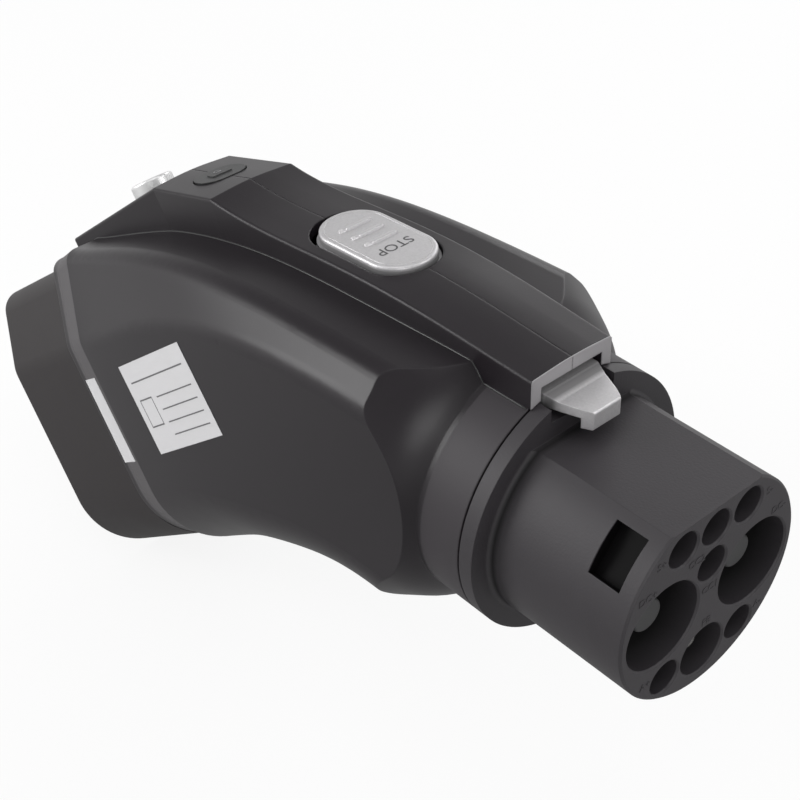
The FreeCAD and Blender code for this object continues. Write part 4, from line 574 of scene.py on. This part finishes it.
# %% The two labels
paper = finish(
    "label_paper", (0.56, 0.555, 0.565), (0.62, 0.615, 0.625), 0.5, drift=0.03, grain_scale=1200.0,
    grain_height=0.004, edge=0,
)
rule_ink = finish("rule_ink", (0.1, 0.1, 0.105), (0.14, 0.14, 0.145), 0.6, grain_height=0.002, edge=0)
label_corners = [(-23.4, 155.3), (23.0, 156.8), (23.9, 126.6), (-22.7, 124.8)]
edge_corners = [(-57.4, 154.5), (-46.6, 154.5), (-46.0, 124), (-57.6, 124)]
film("side_label", left_skin, label_corners, 24, 12, 0.12, paper, "body")
film("edge_label", left_skin, edge_corners, 6, 14, 0.12, paper, "body")


def on_label(p, q):
    """A spot of the side label from shares of its width and height, with the rear end as the start."""
    low = [label_corners[0][k] * (1 - p) + label_corners[1][k] * p for k in (0, 1)]
    high = [label_corners[3][k] * (1 - p) + label_corners[2][k] * p for k in (0, 1)]
    return tuple(low[k] * (1 - q) + high[k] * q for k in (0, 1))


def rule(name, p0, q0, p1, q1, columns=12):
    corners = [on_label(p0, q0), on_label(p1, q0), on_label(p1, q1), on_label(p0, q1)]
    return film(name, left_skin, corners, columns, 1, 0.16, rule_ink, "body")


rules = [("head", 0.08, 0.2, 0.92, 0.216)]
line_levels = (0.42, 0.56, 0.7, 0.84)
rules += [(f"line_{number}", 0.36, level, 0.92, level + 0.014) for number, level in enumerate(line_levels)]
rules += [
    ("box_top", 0.08, 0.4, 0.28, 0.416), ("box_foot", 0.08, 0.7, 0.28, 0.716),
    ("box_rear", 0.08, 0.416, 0.088, 0.7), ("box_front", 0.272, 0.416, 0.28, 0.7),
]
for name, *box in rules:
    rule("label_" + name, *box)
print("labels with", len(rules), "rules")

# %% [markdown]
# ## The bead along the foot of the ridge
# Where the ridge rises out of the body, the moulding has a fine raised line that catches the light from
# one end to the other. It follows the seam of two curved surfaces, so its points are found by dropping
# rays beside the ridge. A thinner and paler bead along the edge over the ridge's front face is a painted
# highlight.

# %% Foot beads
DOWN = Vector((0, 0, -1))
RAY_START = 230
FOOT_FRONT = -50.3
FLARE_FROM = -3
FLARE = 0.1268


def ridge_foot(skin, side):
    """Points beside the ridge: the straight front, the bend, and the rear that flares out."""
    spots = []
    run = FOOT_FRONT - BEND.x
    for step in range(32):
        x = FOOT_FRONT - run * step / 32
        half = 14.3 + 0.9 * (FOOT_FRONT - x) / run
        spots.append((Vector((x, side * half, 60)), DOWN))
    for step in range(37):
        angle = TILT * step / 36
        half = 15.2 + 0.3 * min(1, step / 8) if step < 28 else 15.5 - 0.4 * (step - 28) / 8
        out = Vector((-math.sin(angle), 0, math.cos(angle)))
        spots.append((BEND + out * RAY_START + Vector((0, side * half, 0)), -out))
    for step in range(1, 27):
        a = -2.0 * step
        half = 15.15 + FLARE * max(0, FLARE_FROM - a)
        spots.append((rear_point(a, side * half, RAY_START) / MM, -UPWARD))
    return [drop(skin, place * MM, way, 0.05) for place, way in spots]


bead_plastic = finish(
    "bead_plastic", (0.02, 0.02, 0.021), (0.026, 0.026, 0.027), 0.3, grain_height=0.002, edge=0
)
for name, skin, side in (("left", left_skin, -1), ("right", right_skin, 1)):
    line = ridge_foot(skin, side)
    tube("foot_bead_" + name, line, 0.3, bead_plastic, "body")
    print("bead on the", name, [round(v, 4) for v in line[40]])

# The pale bead over the ridge's front face is a painted highlight along its edge.
painted_edge_highlight = finish("painted_edge_highlight", (0.36, 0.35, 0.36), (0.46, 0.45, 0.46), 0.35, grain_height=0.002, edge=0)
brow_spots = [(left_skin, -13.9 + 0.6 * step) for step in range(23)]
brow_spots += [(right_skin, 0.7 + 0.6 * step) for step in range(23)]
brow = [drop(skin, Vector((-0.04895, y * MM, 0.06)), DOWN, -0.06) for skin, y in brow_spots]
tube("front_brow", brow, 0.13, painted_edge_highlight, "body")

# %% [markdown]
# ## Painted shade in the side window
# The lock of the charging socket drops into a window in the side of the nose. Its pocket lies deep in
# shade, so a thin tray of a near-black plastic lines the pocket, just inside its walls, as painted shade.

# %% Window liner
def window_point(x, across, height):
    """A point of the window: across it round the nose, and by its height over the nose axis."""
    turn = math.radians(50)
    outward = Vector((0, -math.sin(turn), math.cos(turn)))
    sidelong = Vector((0, math.cos(turn), math.sin(turn)))
    return (Vector((x, 0, 0)) + sidelong * across + outward * height) * MM


def window_tray(front=-4.87, back=-14.63, half=7.13, floor_height=28.04, below=0.35, parts=8):
    points, faces = [], []
    for level in ("rim", "floor"):
        for x in (front, back):
            for step in range(parts + 1):
                across = (-half + 2 * half * step / parts) * (1 if x == front else -1)
                height = math.sqrt(32 ** 2 - across ** 2) - below if level == "rim" else floor_height
                points.append(window_point(x, across, height))
    loop = 2 * (parts + 1)
    for step in range(loop):
        ahead = (step + 1) % loop
        faces.append((step, ahead, loop + ahead, loop + step))
    faces.append(tuple(range(loop, 2 * loop)))
    return new_piece("window_shade_liner", points, faces, painted_shade_liner, "body")


# The near-black liner is painted shade for the window's pocket.
painted_shade_liner = finish(
    "painted_shade_liner", (0.0012, 0.001, 0.0012), (0.002, 0.0016, 0.002), 0.6, grain_height=0.01, edge=0,
    specular=0.12,
)
window_tray()
print("window lined")

# %% [markdown]
# ## Marks on the buttons
# The top of the stop button has a fine raised rim, and each of its three ribs ends in a dot. The
# oval button carries the usual sign of a circle broken by a bar.

# %% Rim, dots and sign
def oblong(step, lift, corner_steps=10):
    """Points round the stop button's top, stepped in from its edge."""
    length, width, corner = 19.5 - step, 10.5 - step, 10.3 - step
    points = []
    for index, (sx, sy) in enumerate(((1, 1), (-1, 1), (-1, -1), (1, -1))):
        for part in range(corner_steps + 1):
            angle = math.radians(90 * index + 90 * part / corner_steps)
            a = sx * (length - corner) + corner * math.cos(angle)
            y = sy * (width - corner) + corner * math.sin(angle)
            points.append(on_stop(a, y, lift))
    return points


def dome(name, centre, along, across, upward, radius, height, material, body, rings=4, sides=16):
    points, faces = [], []
    for ring in range(rings):
        angle = math.pi / 2 * ring / rings
        for step in range(sides):
            turn = 2 * math.pi * step / sides
            flat = (along * math.cos(turn) + across * math.sin(turn)) * radius * math.cos(angle)
            points.append(centre + (flat + upward * height * math.sin(angle)) * MM)
    points.append(centre + upward * height * MM)
    for ring in range(rings - 1):
        for step in range(sides):
            here, there = ring * sides + step, ring * sides + (step + 1) % sides
            faces.append((here, there, there + sides, here + sides))
    last = (rings - 1) * sides
    for step in range(sides):
        faces.append((last + step, last + (step + 1) % sides, rings * sides))
    faces.append(tuple(range(sides - 1, -1, -1)))
    return new_piece(name, points, faces, material, body, smooth=True)


def rib(name, a):
    """A grip rib: it ramps up towards the front and drops steeply, with its ends drawn down."""
    profile = [(-1.7, -0.1), (-0.5, 0.5), (0.6, 0.86), (0.95, 0.8), (1.2, -0.1)]
    stations = [(-3.6, 0.0), (-3.1, 0.8), (-2.5, 1.0), (4.6, 1.0), (5.3, 0.85), (5.8, 0.0)]
    points, faces = [], []
    for y, share in stations:
        for ahead, height in profile:
            points.append(on_stop(a + ahead * (0.5 + share / 2), y, -0.1 + (height + 0.1) * share))
    wide = len(profile)
    for row in range(len(stations) - 1):
        for column in range(wide):
            here, there = row * wide + column, row * wide + (column + 1) % wide
            faces.append((here, there, there + wide, here + wide))
    faces += [tuple(range(wide)), tuple(range(len(points) - wide, len(points)))]
    return new_piece(name, points, faces, silver_paint, "stop")


sideways = Vector((0, 1, 0))
tube("stop_rim", oblong(1.5, 0.0), 0.16, silver_paint, "stop", closed=True)
for number, a in enumerate((-9.9, -4.3, 1.3)):
    rib(f"grip_rib_{number}", a)
    dome(
        f"rib_dot_{number}", on_stop(a - 0.2, -4.7, -0.05), stop_along, sideways, stop_up,
        0.85, 0.85, silver_paint, "stop",
    )

key_turn = math.radians(17.587)
key_along = Vector((math.cos(key_turn), 0, math.sin(key_turn)))
sign_ink = finish("sign_ink", (0.22, 0.22, 0.225), (0.28, 0.28, 0.285), 0.6, grain_height=0.002, edge=0)
sign = drop(skin_of("power_button"), Vector((-0.1977, 0, 0.08)), DOWN, 0.03)
turns = [math.radians(35 + 290 * step / 24) for step in range(25)]
circle = [sign + (key_along * math.cos(turn) - sideways * math.sin(turn)) * 1.1 * MM for turn in turns]
tube("sign_circle", circle, 0.12, sign_ink, "power_key")
tube("sign_bar", [sign + key_along * 0.2 * MM, sign + key_along * 1.5 * MM], 0.12, sign_ink, "power_key")
print("sign on the oval button at", [round(v, 4) for v in sign])

# %% [markdown]
# ## The studio
# The floor and the backdrop are white because their colour is, and the lamps stay at a plain level.
# Camera, glossy and transmission rays see the white, so polished pieces mirror it too, while the
# floor still keeps a faint shadow. Mirrored close to the object, the floor fades to grey, as it
# does where an object shades its own ground.

# %% Floor and world
scene = bpy.context.scene
scene.view_settings.view_transform = "Standard"
floor_mesh = bpy.data.meshes.new("floor")
SPAN = 3.0
FLOOR_SEEN = 0.88
floor_z = cad_low.z - 0.0005
floor_corners = [(x * SPAN, y * SPAN, floor_z) for x, y in ((-1, -1), (1, -1), (1, 1), (-1, 1))]
floor_mesh.from_pydata(floor_corners, [], [(0, 1, 2, 3)])
floor = bpy.data.objects.new("floor", floor_mesh)
scene.collection.objects.link(floor)
floor_paint = bpy.data.materials.new("floor_paint")
floor_paint.use_nodes = True
tree = floor_paint.node_tree
matt = tree.nodes["Principled BSDF"]
matt.inputs["Base Color"].default_value = (0.9, 0.9, 0.9, 1)
matt.inputs["Roughness"].default_value = 0.9
glow = tree.nodes.new("ShaderNodeEmission")
glow.inputs["Color"].default_value = (1, 1, 1, 1)
rays = tree.nodes.new("ShaderNodeLightPath")
seen = math_node(tree, "MAXIMUM", rays.outputs["Is Camera Ray"], rays.outputs["Is Transmission Ray"])
seen = math_node(tree, "MAXIMUM", seen, rays.outputs["Is Glossy Ray"])
seen = math_node(tree, "MULTIPLY", seen, FLOOR_SEEN)
from_middle = tree.nodes.new("ShaderNodeVectorMath")
from_middle.operation = "LENGTH"
tree.links.new(tree.nodes.new("ShaderNodeTexCoord").outputs["Object"], from_middle.inputs[0])
fading = map_node(tree, from_middle.outputs["Value"], 0.25, 0.8, 0.35, 0.9)
bright = blend_node(tree, "FLOAT", rays.outputs["Is Glossy Ray"], 1.0, fading)
tree.links.new(bright, glow.inputs["Strength"])
mixed = tree.nodes.new("ShaderNodeMixShader")
tree.links.new(seen, mixed.inputs["Fac"])
tree.links.new(matt.outputs["BSDF"], mixed.inputs[1])
tree.links.new(glow.outputs["Emission"], mixed.inputs[2])
tree.links.new(mixed.outputs["Shader"], tree.nodes["Material Output"].inputs["Surface"])
floor_mesh.materials.append(floor_paint)

FILL = 0.4
HORIZON = 0.75
SKY_TOP = 0.4
world = bpy.data.worlds.new("studio")
scene.world = world
world.use_nodes = True
tree = world.node_tree
air = tree.nodes["Background"]
air.inputs["Color"].default_value = (1, 1, 1, 1)
rays = tree.nodes.new("ShaderNodeLightPath")
sky = tree.nodes.new("ShaderNodeSeparateXYZ")
tree.links.new(tree.nodes.new("ShaderNodeTexCoord").outputs["Generated"], sky.inputs[0])
dusk = map_node(tree, sky.outputs["Z"], 0.1, 0.6, HORIZON, SKY_TOP)
seen = math_node(tree, "MAXIMUM", rays.outputs["Is Camera Ray"], rays.outputs["Is Transmission Ray"])
level = math_node(tree, "MULTIPLY_ADD", seen, 1 - FILL, FILL)
strength = blend_node(tree, "FLOAT", rays.outputs["Is Glossy Ray"], level, dusk)
tree.links.new(strength, air.inputs["Strength"])
print("floor at", round(floor_z, 4))

# %% [markdown]
# ## Lamps
# Black plastic shows its lamps more than its colour. A broad soft box overhead draws the long
# highlights on the ridge and the shoulder, a second one on the left lifts the side panel, two small
# ones in front light the nose, and a strip behind gives the right shoulder its bright rim.

# %% Soft boxes
def soft_box(name, place, aim, width, height, power):
    light = bpy.data.lights.new(name, "AREA")
    light.shape = "RECTANGLE"
    light.size = width
    light.size_y = height
    light.energy = power
    lamp = bpy.data.objects.new(name, light)
    lamp.location = place
    lamp.rotation_euler = (Vector(aim) - Vector(place)).to_track_quat("-Z", "Y").to_euler()
    scene.collection.objects.link(lamp)
    return lamp


middle = (-0.12, 0, -0.02)
soft_box("overhead", (-0.1, -0.1, 1.2), middle, 1.3, 0.9, 4)
soft_box("left_rear", (-0.92, -0.88, 0.5), middle, 0.5, 0.85, 9)
soft_box("front_left", (0.85, -0.62, 0.42), middle, 0.6, 0.45, 3)
soft_box("front_right", (0.65, 0.62, 0.75), middle, 0.5, 0.4, 3)
soft_box("back_strip", (-0.5, 1.05, 0.5), middle, 0.9, 0.3, 3)

# %% [markdown]
# ## The camera
# The view was worked out from the round wells: nine circles of known size, seen as ellipses, fix
# where the lens stood and how long it was.

# %% Camera
camera_data = bpy.data.cameras.new("camera")
camera_data.sensor_width = 36
camera_data.lens = 73.496
camera_data.clip_start = 0.01
camera = bpy.data.objects.new("camera", camera_data)
scene.collection.objects.link(camera)
camera_at = Vector((0.17004, -0.24166, 0.28472))
picture_right = Vector((0.66111762, 0.74987137, -0.0248277))
picture_up = Vector((-0.44794436, 0.42104006, 0.78871485))
camera.matrix_world = frame_matrix(camera_at, picture_right, picture_up)
scene.camera = camera
print("camera at", [round(v, 3) for v in camera.location])
